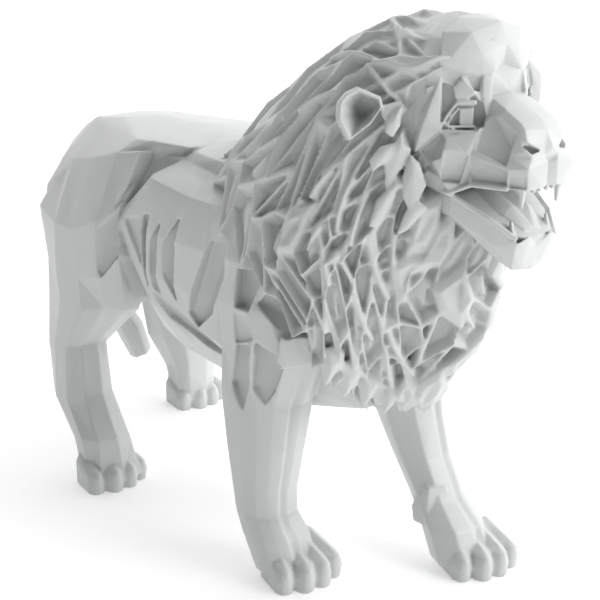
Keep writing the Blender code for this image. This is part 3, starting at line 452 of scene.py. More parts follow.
def ear(name, side):
    """A pocket opening forwards and outwards, pointed below."""
    c = Vector((.316, side * .143, .691))
    n = Vector((.80, side * .58, .12)).normalized()
    u = Vector((-.10, side * -.05, 1))
    u = (u - n * u.dot(n)).normalized()
    w = u.cross(n) * -side
    shape = [(-.60, .80), (-.10, 1.0), (.87, .62), (.97, .25), (.42, -.42), (-.55, -1.05), (-1.0, -.25), (-.95, .45)]
    hw, hh = .027, .030

    def ring(scale, depth, slip=(0, 0)):
        return [tuple(c + w * ((a * scale + slip[0]) * hw) + u * ((b * scale + slip[1]) * hh) + n * depth)
                for a, b in shape]
    bm = bmesh.new()
    rows = [[bm.verts.new(p) for p in ring(*r)] for r in
            ((.70, -.058, (-.20, -.25)), (1.02, -.012), (1.0, .002), (.86, .003, (.02, -.01)), (.50, -.020, (.26, .06)),
             (.22, -.034, (.30, .02)))]
    k = len(shape)
    for r0, r1 in zip(rows, rows[1:]):
        for i in range(k):
            bm.faces.new((r0[i], r0[(i + 1) % k], r1[(i + 1) % k], r1[i]))
    bm.faces.new(rows[0])
    bm.faces.new(rows[-1])
    bmesh.ops.triangulate(bm, faces=bm.faces)
    return new_object(name, bm)


# ---------------------------------------------------------------- mane
# Guide lines the locks run along, right half, from the crown round the cheek to the chin:
# edge of the face, one third, two thirds, tip.
GUIDES = [
    [(.385, 0, .784), (.262, 0, .791), (.112, 0, .724), (-.042, 0, .598)],
    [(.376, -.050, .770), (.250, -.070, .770), (.098, -.080, .682), (-.015, -.084, .584)],
    [(.364, -.080, .743), (.254, -.124, .722), (.110, -.140, .620), (.045, -.140, .548)],
    [(.346, -.090, .698), (.264, -.154, .655), (.172, -.176, .574), (.112, -.172, .505)],
    [(.345, -.092, .650), (.286, -.164, .588), (.226, -.188, .524), (.172, -.186, .470)],
    [(.360, -.086, .608), (.316, -.148, .540), (.280, -.174, .480), (.240, -.182, .430)],
    [(.376, -.064, .576), (.336, -.110, .500), (.296, -.136, .432), (.258, -.142, .356)],
    [(.388, -.034, .550), (.362, -.060, .470), (.318, -.076, .388), (.270, -.066, .298)],
    [(.400, 0, .532), (.396, 0, .452), (.364, 0, .370), (.298, 0, .290)],
]


def catmull(a, b, c, d, t):
    return tuple(.5 * (2 * q + (r - p) * t + (2 * p - 5 * q + 4 * r - s) * t * t + (3 * q - p - 3 * r + s) * t ** 3)
                 for p, q, r, s in zip(a, b, c, d))


def guide_point(g, t):
    """A point on guide line g at t from 0 (face) to 1 (tip)."""
    p = g[0], g[1], g[2], g[3]
    ext = [lerp(p[1], p[0], 2)] + list(p) + [lerp(p[2], p[3], 2)]
    f = min(max(t, -.12), 1.12) * 3
    i = min(max(int(math.floor(f)), 0), 2)
    return catmull(ext[i], ext[i + 1], ext[i + 2], ext[i + 3], f - i)


def mane_point(a, t):
    """a runs 0..1 from the crown down the right side to the chin and on up the left side."""
    a = a % 1.0
    side = 1 if a <= .5 else -1
    h = (a if a <= .5 else 1 - a) * 2
    n = len(GUIDES) - 1
    f = h * n
    i = min(int(f), n - 1)
    pts = [guide_point(g, t) for g in GUIDES]
    pts = [mirror(pts[1])] + pts + [mirror(pts[-2])]
    p = catmull(pts[i], pts[i + 1], pts[i + 2], pts[i + 3], f - i)
    if side == 1:
        return p
    swell = max(0.0, 1 - t / .45) * max(0.0, 1 - abs(h - .36) / .30)      # fuller beside the left cheek
    tuck = max(0.0, 1 - t / .40) * min(1.0, max(0.0, 1.6 - abs(h - .15) / .10))   # and flatter over the left brow
    return (p[0] - .016 * tuck, -p[1] + .022 * swell - .018 * tuck, p[2] + .004 * swell - .006 * tuck)


def mane_frame(a, t):
    """Point and outward direction."""
    e = .004
    p = Vector(mane_point(a, t))
    da = Vector(mane_point(a + e, t)) - Vector(mane_point(a - e, t))
    dt = Vector(mane_point(a, t + .02)) - Vector(mane_point(a, t - .02))
    n = dt.cross(da)
    if n.length < 1e-9:
        n = Vector((0, 0, 1))
    return p, n.normalized()


def lock_place(u, v, cols, rows):
    """Where column u, row v of the lattice lies: the locks lean down the side and meet at the chest."""
    w = u / cols
    t = v / rows
    fade = max(0.0, min(1.0, v / 1.0, (rows - v) / 1.0))
    t += (.24 * math.sin(10 * math.pi * w + .7) + .20 * math.sin(18 * math.pi * w + 2.1)) * fade / rows
    w += .38 / cols * math.sin(2 * math.pi * (1.6 * t + 3 * w)) * fade
    x = 2 * math.pi * w
    return w + (LEAN * t - CROWD) * .9 * (math.sin(x) - math.sin(3 * x) / 9), t


def mane(name, cols=MANE_COLS, rows=MANE_ROWS):
    """A collar of long pointed locks: a net of rounded ridges round sunk cells with creased floors."""
    bm = bmesh.new()
    short = .20                                   # half length of the straight side of a lock
    fins = []

    def knot(i, j, up):
        """Corner between two locks of row j: column i, lower or upper end of their common side."""
        i = i % cols
        off = .5 * (j % 2)
        k = 1 if up else 0
        ju = (noise(i, j, 1 + k) - .5) * 2 * LOCK_JITTER
        jv = (noise(i, j, 5 + k) - .5) * 2 * LOCK_JITTER * .75
        v = j + .5 + (short if up else -short)
        edge = v < .35 or v > rows - .35
        v += 0 if edge else jv
        if v > rows - .35:                        # ragged lower border
            v += (noise(i, j, 13) - .35) * .35
        a, t = lock_place(i + .5 + off + ju, v, cols, rows)
        p, n = mane_frame(a, t)
        lift = RIDGE_UP + (noise(i, j, 9 + k) - .5) * RIDGE_LIFT * (0 if v < .4 else 1)
        if min(a % 1.0, 1 - a % 1.0) < .085 and t < .16:       # under the forelock
            lift -= .010
        return tuple(p + n * lift)

    low = [[Vector(knot(i, j, False)) for i in range(cols)] for j in range(rows + 1)]
    top = [[Vector(knot(i, j, True)) for i in range(cols)] for j in range(-1, rows)]
    made = {}

    def vert(p):
        key = (round(p.x, 7), round(p.y, 7), round(p.z, 7))
        if key not in made:
            made[key] = bm.verts.new(p)
        return made[key]

    for j in range(rows):
        for i in range(cols):
            shift = j % 2
            il, ir = (i - 1) % cols, i % cols
            kb = (i - 1) % cols if shift == 0 else i % cols
            c = [top[j][kb], low[j][ir], top[j + 1][ir], low[j + 1][kb], top[j + 1][il], low[j][il]]
            a, t = lock_place(i + .5 * shift, j + .5, cols, rows)
            _, n = mane_frame(a, t)
            mid = sum(c, Vector()) / 6
            kind = noise(i, j, 21)
            away = min(a % 1.0, 1 - a % 1.0) * 2               # 0 at the crown, 1 at the chin
            full = min(1.0, max(0.0, (away - .16) / .26))      # shallow over the crown
            deep = LOCK_DEPTH * (.45 + .55 * full) * (.75 + .50 * noise(i, j, 3)) * ((.7 if full else .1) if j == 0 else 1)
            lean = (noise(i, j, 23) - .5) * (.4 + .5 * full)   # one side of the floor deeper than the other
            side = (0, 1, 1, 0, -1, -1)
            if kind > .90:                                     # a raised blade in place of a hollow
                deep = -LOCK_DEPTH * .40
            floor = []
            for k in range(6):
                inward = mid - c[k]
                inset = RIDGE_SHARE * (.55 + .95 * noise(i * 6 + k, j, 41))
                floor.append(c[k] + inward * inset - n * deep * (1 + lean * side[k] * .5))
            ring = [vert(p) for p in c]
            base = [bm.verts.new(p) for p in floor]
            for k in range(6):
                m = (k + 1) % 6
                bm.faces.new((ring[k], ring[m], base[m]))
                bm.faces.new((ring[k], base[m], base[k]))
            crease = n * deep * (.30 if kind < .5 else -.30)
            e0 = bm.verts.new(floor[0] + (mid - floor[0]) * .45 - n * deep * .1 - crease)
            e1 = bm.verts.new(floor[3] + (mid - floor[3]) * .45 - n * deep * .1 - crease)
            bm.faces.new((base[0], base[1], e0))
            bm.faces.new((base[1], base[2], e1, e0))
            bm.faces.new((base[2], base[3], e1))
            bm.faces.new((base[3], base[4], e1))
            bm.faces.new((base[4], base[5], e0, e1))
            bm.faces.new((base[5], base[0], e0))
            cross = int(noise(i, j, 31) * 2) + 1
            if kind < .22 and j > 0:                           # a thin ridge across the hollow
                fins.append((c[cross], c[(cross + 3) % 6], n, deep))
            elif kind < (.70 if j > 1 else .36):               # or the hollow split lengthwise
                k = (0, 3) if noise(i, j, 33) < .6 else ((0, 2) if noise(i, j, 34) < .5 else (5, 3))
                fins.append((c[k[0]], c[k[1]], n, deep))
    # close the two zigzag borders inside the head and inside the chest
    bm.verts.ensure_lookup_table()
    bmesh.ops.triangulate(bm, faces=bm.faces)
    for j, centre in ((0, (.290, 0, .660)), (rows, (.130, 0, .440))):
        hub = bm.verts.new(centre)
        keys = {(round(p.x, 7), round(p.y, 7), round(p.z, 7)) for p in low[j] + top[j]}
        rim = {made[k] for k in keys if k in made}
        for e in [e for e in bm.edges if e.is_boundary and all(v in rim for v in e.verts)]:
            bm.faces.new((e.verts[0], e.verts[1], hub))
    out = [new_object(name, bm)]
    for k, (p, q, n, deep) in enumerate(fins):
        p, q = p - n * .0015, q - n * .0025
        w = (q - p).cross(n).normalized()
        wide = .0045 + .0035 * noise(k, 1, 43)
        low = n * abs(deep) * 1.5
        out.append(hull('%s_fin%d' % (name, k), [tuple(v) for v in (
            p + w * .0020, p - w * .0020, q + w * .0020, q - w * .0020, p - low + w * wide, p - low - w * wide,
            q - low + w * wide, q - low - w * wide)]))
    return out


def blade(name, p, q, n, width, height, bow=.3):
    """A raised lock: a long leaf with a keel, pointed at q, sunk in the coat at p."""
    p, q, n = Vector(p), Vector(q), Vector(n).normalized()
    d = q - p
    w = d.cross(n).normalized()
    m = p + d * bow + n * height
    return hull(name, [tuple(v) for v in (
        p - n * height, p + w * width * .35, p - w * width * .35, m + w * width * .12, m - w * width * .12,
        p + d * (bow + .05) + w * width * .5 - n * height * .2, p + d * (bow + .05) - w * width * .5 - n * height * .2,
        p + d * .72 + n * height * .72, q, q - n * height * 1.2, p + d * .5 - n * height * 1.4)])


# Large raised locks between the ear and the cheek, right side, facing forwards and outwards:
# corners of the face of the lock, how far it stands out in mm.
LEAVES = [
    ([(.324, -.124, .699), (.342, -.100, .706), (.343, -.105, .694), (.333, -.122, .682)], 3),
    ([(.349, -.107, .703), (.354, -.102, .693), (.344, -.118, .662), (.338, -.126, .670), (.337, -.122, .683)], 4),
    ([(.352, -.098, .683), (.356, -.098, .648), (.351, -.109, .625), (.340, -.125, .602), (.336, -.124, .635),
      (.343, -.110, .663)], 5),
    ([(.345, -.112, .658), (.346, -.114, .645), (.331, -.138, .622), (.326, -.139, .637), (.332, -.126, .654)], 4),
    ([(.359, -.102, .645), (.367, -.094, .634), (.370, -.093, .619), (.374, -.089, .608), (.366, -.106, .572),
      (.357, -.113, .594), (.354, -.111, .619)], 5),
    ([(.346, -.122, .606), (.350, -.114, .596), (.338, -.130, .560), (.330, -.142, .556), (.336, -.134, .590)], 4),
    ([(.372, -.098, .590), (.378, -.090, .582), (.360, -.108, .552), (.350, -.116, .546), (.360, -.110, .578)], 4),
]
# Long ridges that run across the net: start and end as (share of the way from crown to chin, down the coat),
# half width in mm.
LONG_RIDGES = [
    ((.005, .44), (.110, .02), 3.6), ((.108, .23), (.140, .02), 3.4), ((.115, .24), (.172, .06), 3.6),
    ((.066, .20), (.112, .12), 2.8), ((.080, .43), (.107, .23), 3.0), ((.135, .46), (.140, .32), 3.0),
    ((.350, .03), (.350, .15), 4.0), ((.375, .02), (.362, .19), 4.0), ((.302, .08), (.323, .28), 4.0),
    ((.323, .29), (.398, .46), 4.6), ((.345, .20), (.400, .41), 3.6), ((.355, .55), (.410, .69), 3.8),
    ((.405, .43), (.415, .29), 3.4), ((.415, .29), (.410, .04), 3.4), ((.417, .59), (.463, .80), 4.0),
    ((.460, .31), (.492, .48), 3.4), ((.425, .67), (.448, .90), 3.4), ((.223, .30), (.235, .42), 3.2),
    ((.245, .22), (.288, .38), 3.6), ((.275, .19), (.312, .37), 3.6), ((.275, .45), (.323, .62), 3.6),
    ((.230, .46), (.240, .63), 3.2),
]
STRANDS = [(.565, .02, .22, .018, .026, .018), (.62, .40, .60, -.010, .018, .012), (.53, .38, .58, .012, .018, .012)]


def leaf(name, pts, stand):
    """A faceted lock: its outline, a raised point near the root, and a foot sunk in the coat."""
    n = Vector()
    for q, r in zip(pts, pts[1:] + pts[:1]):
        n += q.cross(r)
    n.normalize()
    mid = sum(pts, Vector()) / len(pts)
    if n.x < 0:
        n = -n
    top = mid + (pts[0] - mid) * .35 + n * stand * .001
    return hull(name, [tuple(q) for q in pts] + [tuple(top)] + [tuple(mid + (q - mid) * .55 - n * .030) for q in pts])


def ridge(name, p, q, n, half, low):
    """A sharp-backed ridge from p to q, its foot sunk by low."""
    w = (q - p).cross(n).normalized()
    return hull(name, [tuple(e + w * k) for e in (p, q) for k in (half * .45, -half * .45)] +
                [tuple(e - n * low + w * k) for e in (p, q) for k in (half * 1.7, -half * 1.7)])


def blades(name):
    """The locks and ridges laid over the net: beside the face, below the ears, and across the coat."""
    out = []
    for side in (1, -1):
        for k, (corners, stand) in enumerate(LEAVES):
            out.append(leaf('%s_leaf%d' % (name, k), [Vector((x, y * side, z)) for x, y, z in corners], stand))
        for k, (h, t0, t1, lean, width, height) in enumerate(STRANDS):
            a = h / 2 if side > 0 else 1 - h / 2 - .006
            p, n = mane_frame(a, t0)
            q, m = mane_frame(a + lean * side, t1)
            out.append(blade('%s_tuft%d' % (name, k), p - n * .006, q + m * .002, n + m, width, height))
        for k, ((a0, t0), (a1, t1), half) in enumerate(LONG_RIDGES):
            steps = 4 if a0 < .2 else 3
            row = []
            for i in range(steps + 1):
                f = i / steps
                h = a0 + (a1 - a0) * f
                p, n = mane_frame(h if side > 0 else 1 - h, t0 + (t1 - t0) * f)
                row.append((p + n * (.0025 + .0035 * math.sin(math.pi * f)), n))
            for (p, n), (q, m) in zip(row, row[1:]):
                out.append(ridge('%s_ridge%d' % (name, k), p, q, (n + m).normalized(), half * .001, .012))
    return out


def fringe(name):
    """Pointed tips under the chest, between and beside the forelegs."""
    out = []
    count = 11
    for i in range(count):
        a = .365 + .27 * (i + .5) / count
        p, n = mane_frame(a, .86)
        q = Vector(mane_point(a, 1.0)) + Vector((-.006, 0, -.014 - .012 * noise(i, 4, 71)))
        out.append(blade('%s_%d' % (name, i), p - n * .006, q, n, .034 + .008 * noise(i, 5, 72), .010))
    return out


# ---------------------------------------------------------------- tail
def tail(name):
    path = [(-.520, 0, .500, .034), (-.572, .004, .470, .030), (-.604, .012, .405, .022), (-.618, .028, .330, .018),
            (-.622, .055, .255, .017), (-.618, .090, .185, .022), (-.610, .122, .125, .027), (-.606, .142, .070, .022)]
    rings = []
    for i, (x, y, z, r) in enumerate(path):
        a = path[max(i - 1, 0)]
        b = path[min(i + 1, len(path) - 1)]
        d = Vector((b[0] - a[0], b[1] - a[1], b[2] - a[2])).normalized()
        s = Vector((0, 1, 0))
        s = (s - d * s.dot(d)).normalized()
        f = d.cross(s)
        rings.append([tuple(Vector((x, y, z)) + (s * math.cos(q) + f * math.sin(q)) * r)
                      for q in (math.pi * (k + .5) / 3 for k in range(6))])
    return loft(name, rings)


# ---------------------------------------------------------------- one casting
SHIFT = Vector((.07695, -.02007, 0))     # from the frame the lion is shaped in to the row's frame
ROUGH = 1.0
MAX_TRIANGLES = 194000


# Planes cut into the flank: corners (x, z, depth in mm), the same on both sides.
HIND_FACETS = {
    'thigh_front': [(-.241, .446, 1), (-.207, .475, 3), (-.200, .409, 5), (-.230, .370, 5), (-.240, .384, 2)],
    'rib_tip': [(-.180, .471, 2), (-.132, .484, 2), (-.141, .405, 3)],
    'rib_slit1': [(-.129, .486, 4), (-.112, .490, 9), (-.124, .420, 10), (-.143, .358, 4), (-.135, .420, 4)],
    'rib_slit2': [(-.080, .490, 7), (-.107, .454, 3), (-.122, .382, 3), (-.108, .353, 5), (-.094, .420, 10)],
    'rib_slit3': [(-.033, .505, 7), (-.075, .452, 2), (-.078, .414, 2), (-.061, .367, 5), (-.044, .436, 10)],
    'rib_band': [(.047, .486, 6), (.085, .492, 4), (.078, .445, 6), (.035, .379, 7), (-.026, .337, 7),
                 (-.037, .359, 6), (.011, .429, 6)],
    'belly': [(-.130, .372, 1), (-.057, .352, 1), (.004, .312, 1), (.020, .285, 6), (-.060, .292, 8),
              (-.125, .322, 7)],
}
SHOULDER_FACETS = {
    'kite_high': [(.114, .466, 9), (.178, .475, 10), (.154, .417, 10), (.114, .412, 9)],
    'kite_mid': [(.110, .405, 1), (.152, .412, 1), (.158, .378, 4), (.112, .360, 4)],
    'kite_rear': [(.112, .358, 8), (.154, .371, 9), (.128, .302, 6), (.117, .262, 2), (.092, .297, 5)],
    'kite_front': [(.161, .376, 11), (.211, .358, 10), (.175, .305, 5), (.155, .280, 3), (.142, .304, 6)],
    'strip': [(.169, .431, 7), (.183, .446, 4), (.236, .432, 4), (.240, .404, 6), (.218, .394, 8)],
}
# Grooves: from, to (x, y on the right side, z) and half width in mm.
GROOVES = [
    ((-.296, -.028, .594), (-.180, -.060, .590), 5), ((-.180, -.060, .590), (-.152, -.056, .590), 5),
    ((-.152, -.056, .590), (-.112, -.082, .580), 6), ((-.150, -.098, .572), (-.211, -.151, .482), 5),
    ((-.211, -.151, .482), (-.203, -.153, .400), 3), ((-.348, -.170, .224), (-.310, -.146, .216), 2),
    ((-.348, -.170, .224), (-.440, -.148, .220), 2), ((-.385, -.166, .214), (-.388, -.166, .130), 2),
    ((-.327, -.158, .222), (-.318, -.164, .150), 2),
]


def surface_point(tree, x, z, side):
    hit = tree.ray_cast(Vector((x, side * .6, z)), Vector((0, -side, 0)))[0]
    return hit if hit else Vector((x, side * .16, z))


def cutter(pts, depths):
    """A tool that sinks the plane through pts by the depths (mm), open to the outside."""
    n = Vector()
    for q, r in zip(pts, pts[1:] + pts[:1]):
        n += q.cross(r)
    n.normalize()
    mid = sum(pts, Vector()) / len(pts)
    if n.dot(Vector((.35 if mid.x > .34 else 0, mid.y, 0))) < 0:
        n = -n
    k = .001 if mid.x > .34 else .0014
    return hull('cutter', [tuple(q - n * d * k) for q, d in zip(pts, depths)] + [tuple(q + n * .03) for q in pts])


def carve(obs):
    """Cut the planes and grooves into the solids of the body."""
    verts, faces = [], []
    for ob in obs:
        base = len(verts)
        verts += [v.co.copy() for v in ob.data.vertices]
        faces += [[base + k for k in f.vertices] for f in ob.data.polygons]
    tree = BVHTree.FromPolygons(verts, faces)
    tools = []
    for side in (-1, 1):
        for group, shift in ((HIND_FACETS, 0.0), (SHOULDER_FACETS, 0.0 if side < 0 else .012)):
            for key, corners in group.items():
                pts = [surface_point(tree, x + shift, z, side) for x, z, d in corners]
                tools.append(cutter(pts, [d for x, z, d in corners]))
        for p, q, r in GROOVES:
            p, q = Vector(p), Vector(q)
            p.y *= -side
            q.y *= -side
            tools.append(bar('cut_groove', p, q, r * .001, up=((p + q) / 2 - Vector(((p.x + q.x) / 2, 0, .43)))))
    rows = FRONT_GROOVE
    for p, q in zip(rows, rows[1:]):
        tools.append(bar('cut_groove', p, q, .0045, up=(1, 0, 0)))
    cut(obs, tools)


FRONT_GROOVE = [(.212, -.122, .318), (.198, -.117, .276), (.170, -.111, .207), (.156, -.111, .128)]


def body_solids():
    out = [loft('ribs', [half_ring(r) for r in RIBS]), loft('waist', [half_ring(r) for r in WAIST]),
           hull('rump', both(RUMP))]
    out.append(loft('leg_hr', THIGH + SHANK_FORWARD))
    out.append(loft('leg_hl', [[mirror(p) for p in ring] for ring in THIGH + SHANK_BACK]))
    out.append(front_leg('leg_fr', FRONT_RIGHT, -1, 0.0))
    out.append(front_leg('leg_fl', FRONT_LEFT, 1, .012))
    for s in (-1, 1):
        out.append(hull('pad%d' % s, [(.214, s * .181, .397), (.246, s * .150, .399), (.241, s * .149, .360),
                                      (.205, s * .182, .350), (.170, s * .130, .400), (.190, s * .120, .350)]))
    carve(out)
    out += paw('paw_fr', .202, -.104, -.10)
    out += paw('paw_fl', .342, .108, -.20)
    out += paw('paw_hr', -.238, -.135, .02, height=.044)
    out += paw('paw_hl', -.432, .178, .02, height=.042, width=.029)
    out.append(hull('dew', [(.225, .070, .120), (.250, .062, .122), (.218, .060, .085), (.222, .060, .062),
                            (.250, .058, .062), (.260, .090, .062), (.235, .095, .062), (.235, .095, .12),
                            (.260, .09, .12)]))
    out.append(tail('tail'))
    return out


# Planes sunk into the face, right side: corners (x, y, z, depth in mm).
FACE_CUTS = {
    'temple': [(.3775, -.0728, .7270, 7), (.3859, -.0607, .7210, 4), (.3892, -.0602, .7069, 4), (.3785, -.0726, .6835, 6)],
    'brow_gap': [(.3952, -.0531, .7343, 2), (.4052, -.0387, .7340, 2), (.4068, -.0411, .7162, 7), (.4037, -.0480, .7188, 7)],
    'eye_inner': [(.4040, -.0450, .7080, 5), (.4085, -.0385, .7050, 7), (.4115, -.0345, .6880, 9),
                  (.4130, -.0400, .6765, 9), (.4045, -.0440, .6755, 9), (.4035, -.0450, .6980, 8)],
    'eye_outer': [(.3840, -.0715, .6785, 3), (.3925, -.0600, .6785, 8), (.3925, -.0600, .6970, 8), (.3895, -.0650, .6970, 5)],
    'cheek_back': [(.3590, -.0880, .6475, 7), (.3800, -.0760, .6690, 7), (.3905, -.0780, .6620, 2),
                   (.3880, -.0829, .6420, 2), (.3680, -.0860, .6330, 6)],
    'cheek_low': [(.3620, -.0860, .6260, 9), (.3730, -.0865, .6350, 6), (.3860, -.0815, .6150, 5)],
    'cheek_front': [(.3940, -.0815, .6530, 0), (.4150, -.0640, .6500, 0), (.4050, -.0680, .6120, 7),
                    (.3870, -.0815, .6140, 7)],
    'cheek_edge': [(.4140, -.0650, .6420, 1), (.4175, -.0620, .6290, 5), (.4130, -.0640, .6080, 5), (.3980, -.0740, .6040, 1)],
    'snout_low': [(.4150, -.0640, .6450, 1), (.4600, -.0500, .6330, 5), (.4580, -.0480, .6160, 6), (.4170, -.0620, .6160, 6)],
    'snout_side': [(.4160, -.0360, .7000, 0), (.4600, -.0360, .6760, 2), (.4540, -.0400, .6620, 6), (.4580, -.0500, .6390, 6),
                   (.4190, -.0600, .6520, 3), (.4200, -.0530, .6750, 2)],
    'nostril': [(.4665, -.0365, .6625, 3), (.4735, -.0285, .6625, 12), (.4810, -.0170, .6570, 4), (.4775, -.0295, .6525, 10)],
    'pad_low': [(.4624, -.0495, .6343, 1), (.4802, -.0412, .6361, 0), (.4780, -.0360, .6129, 4), (.4615, -.0470, .6129, 6)],
    'fore_a': [(.386, -.018, .790, 0), (.402, -.006, .758, 3), (.403, -.022, .752, 3), (.392, -.034, .770, 1)],
    'fore_b': [(.386, -.040, .776, 1), (.398, -.030, .758, 4), (.399, -.042, .742, 3), (.388, -.052, .762, 0)],
}
# Thin raised edges of the face, right side: from, to, half width in mm.
FACE_EDGES = [
    ((.3915, -.0640, .7048), (.4080, -.0470, .7048), 3.3),                       # upper lid
    ((.3775, -.0755, .6735), (.3865, -.0695, .6930), 2.0), ((.3865, -.0695, .6930), (.3925, -.0635, .7040), 2.0),
    ((.3830, -.0710, .6765), (.3885, -.0660, .6890), 1.5), ((.3885, -.0660, .6890), (.3930, -.0605, .6985), 1.5),
    ((.3855, -.0700, .6768), (.4065, -.0460, .6768), 1.9),                       # lower lid
    ((.3785, -.0760, .6712), (.4140, -.0520, .6715), 2.6),                       # ledge of the cheek bone
    ((.3940, -.0735, .6000), (.4180, -.0625, .6120), 2.8), ((.4180, -.0625, .6120), (.4620, -.0485, .6125), 2.8),
    ((.3600, -.0690, .6020), (.3940, -.0735, .6000), 3.5),
    ((.3400, -.0660, .6030), (.3940, -.0700, .5985), 3.2), ((.3940, -.0700, .5985), (.4420, -.0545, .5745), 3.2),
    ((.4420, -.0545, .5745), (.4690, -.0365, .5530), 3.0),                       # edge of the lower lip
]


def face_relief():
    """Brow, spike, temple and cheek bone standing out from the planes of the face."""
    out = []
    for s in (-1, 1):
        def pts(rows):
            return [(x, -s * y, z) for x, y, z in rows]
        out.append(hull('temple', pts([(.3765, -.0750, .7340), (.3800, -.0765, .6730), (.3700, -.0905, .6900),
                                       (.3560, -.0945, .6440), (.3600, -.0700, .7200), (.3500, -.0750, .6500),
                                       (.3450, -.0820, .6900), (.3720, -.0680, .6680)])))
        out.append(hull('brow', pts([(.3870, -.0660, .7215), (.3930, -.0585, .7340), (.4070, -.0500, .7145),
                                     (.3905, -.0650, .7085), (.4015, -.0550, .7085), (.3985, -.0600, .7325),
                                     (.4100, -.0515, .7165), (.3850, -.0500, .7200), (.3950, -.0450, .7120)])))
        out.append(hull('spike', pts([(.4075, -.0385, .7350), (.4135, -.0265, .7350), (.4100, -.0405, .7120),
                                      (.4155, -.0300, .7080), (.4140, -.0355, .6850), (.3990, -.0300, .7320),
                                      (.4040, -.0290, .6980)])))
        for p, q, r in (FACE_EDGES if s < 0 else FACE_EDGES[:-3]):
            out.append(bar('edge', (p[0], -s * p[1], p[2]), (q[0], -s * q[1], q[2]), r * .001, up=(.5, s * .8, .3),
                           sides=6))
    return out


def face():
    ob = head('head')
    tools = []
    for s in (-1, 1):
        for key, corners in FACE_CUTS.items():
            if key == 'temple' and s > 0:                      # the left lock grows out of the temple
                continue
            tools.append(cutter([Vector((x, -s * y, z)) for x, y, z, d in corners], [d for x, y, z, d in corners]))
        for p, q in (((.4585, -.0415, .6640), (.4690, -.0360, .6665)), ((.4690, -.0360, .6665), (.4805, -.0190, .6560))):
            tools.append(bar('cutter', (p[0], -s * p[1], p[2]), (q[0], -s * q[1], q[2]), .0026, up=(1, 0, 0)))
    tools.append(bar('cutter', (.4860, 0, .6440), (.4840, 0, .6080), .0055, up=(1, 0, 0)))
    cut([ob], tools)
    return [ob, hull('forelock1', FORELOCK), hull('forelock2', [mirror(p) for p in FORELOCK]),
            hull('left_lock', LEFT_LOCK)] + face_relief()


# The smooth mass of hair over the forehead, right half: it covers the edge of the net at the crown.
FORELOCK = [
    (.4045, 0, .745), (.4125, -.0235, .738), (.409, 0, .769), (.409, -.019, .765), (.397, 0, .793), (.405, -.038, .758),
    (.4055, -.038, .736), (.396, -.054, .7375), (.396, -.056, .749), (.393, -.044, .783), (.386, -.068, .756),
    (.376, -.078, .750), (.358, 0, .7995), (.356, -.030, .797), (.364, -.062, .782), (.370, -.074, .738),
    (.350, -.040, .750), (.350, 0, .750),
]
# The lock beside the left brow, which stands out past the cheek.
LEFT_LOCK = [(.385, .095, .720), (.380, .101, .690), (.376, .084, .750), (.385, .066, .744), (.3745, .0775, .727),
             (.371, .082, .700), (.368, .087, .675), (.371, .101, .664), (.362, .092, .648), (.345, .114, .722),
             (.345, .116, .680), (.330, .090, .745), (.340, .080, .690)]


def coat_solids():
    return mane('mane') + blades('blade') + fringe('fringe')


def hollows():
    """The hollow between the temple and the locks beside it."""
    out = []
    for s in (-1, 1):
        k = 1.0 if s < 0 else 1.10
        pts = [Vector((x, s * y * k, z)) for x, y, z in
               ((.362, .084, .724), (.350, .098, .722), (.343, .106, .690), (.348, .104, .655), (.362, .092, .644),
                (.366, .082, .680))]
        n = Vector((.55, s * .83, .05)).normalized()
        out.append(hull('hollow', [tuple(q - n * .020) for q in pts] + [tuple(q + n * .05) for q in pts]))
    return out


def head_solids():
    return face() + jaw_parts() + eye_parts() + [ear('ear_r', -1), ear('ear_l', 1)]


def cut(obs, tools):
    group = bpy.data.collections.new('cutters')
    for t in tools:
        group.objects.link(t)
    for ob in obs:
        mod = ob.modifiers.new('cut', 'BOOLEAN')
        mod.operation = 'DIFFERENCE'
        mod.solver = 'EXACT'
        mod.operand_type = 'COLLECTION'
        mod.collection = group
        bake(ob)
    for t in tools:
        bpy.data.objects.remove(t, do_unlink=True)
    bpy.data.collections.remove(group)


def bake(ob):
    dg = bpy.context.evaluated_depsgraph_get()
    me = bpy.data.meshes.new_from_object(ob.evaluated_get(dg))
    ob.modifiers.clear()
    ob.data = me


def fuse(obs, name, voxel, soften, hollows=()):
    """One mesh of the overlapping solids, hollowed where asked, its edges rounded off."""
    bm = bmesh.new()
    for ob in obs:
        bm.from_mesh(ob.data)
        bpy.data.objects.remove(ob, do_unlink=True)
    me = bpy.data.meshes.new(name)
    bmesh.ops.translate(bm, verts=bm.verts, vec=SHIFT)
    bm.to_mesh(me)
    bm.free()
    ob = bpy.data.objects.new(name, me)
    bpy.context.scene.collection.objects.link(ob)
    mod = ob.modifiers.new('remesh', 'REMESH')
    mod.mode = 'VOXEL'
    mod.voxel_size = voxel * ROUGH
    bake(ob)
    for tool in hollows:
        tool.data.transform(Matrix.Translation(SHIFT))
        mod = ob.modifiers.new('hollow', 'BOOLEAN')
        mod.operation = 'DIFFERENCE'
        mod.solver = 'MANIFOLD'
        mod.object = tool
        bake(ob)
        bpy.data.objects.remove(tool, do_unlink=True)
    mod = ob.modifiers.new('soften', 'SMOOTH')
    mod.factor = .5
    mod.iterations = max(2, int(soften / ROUGH))
    bake(ob)
    return ob


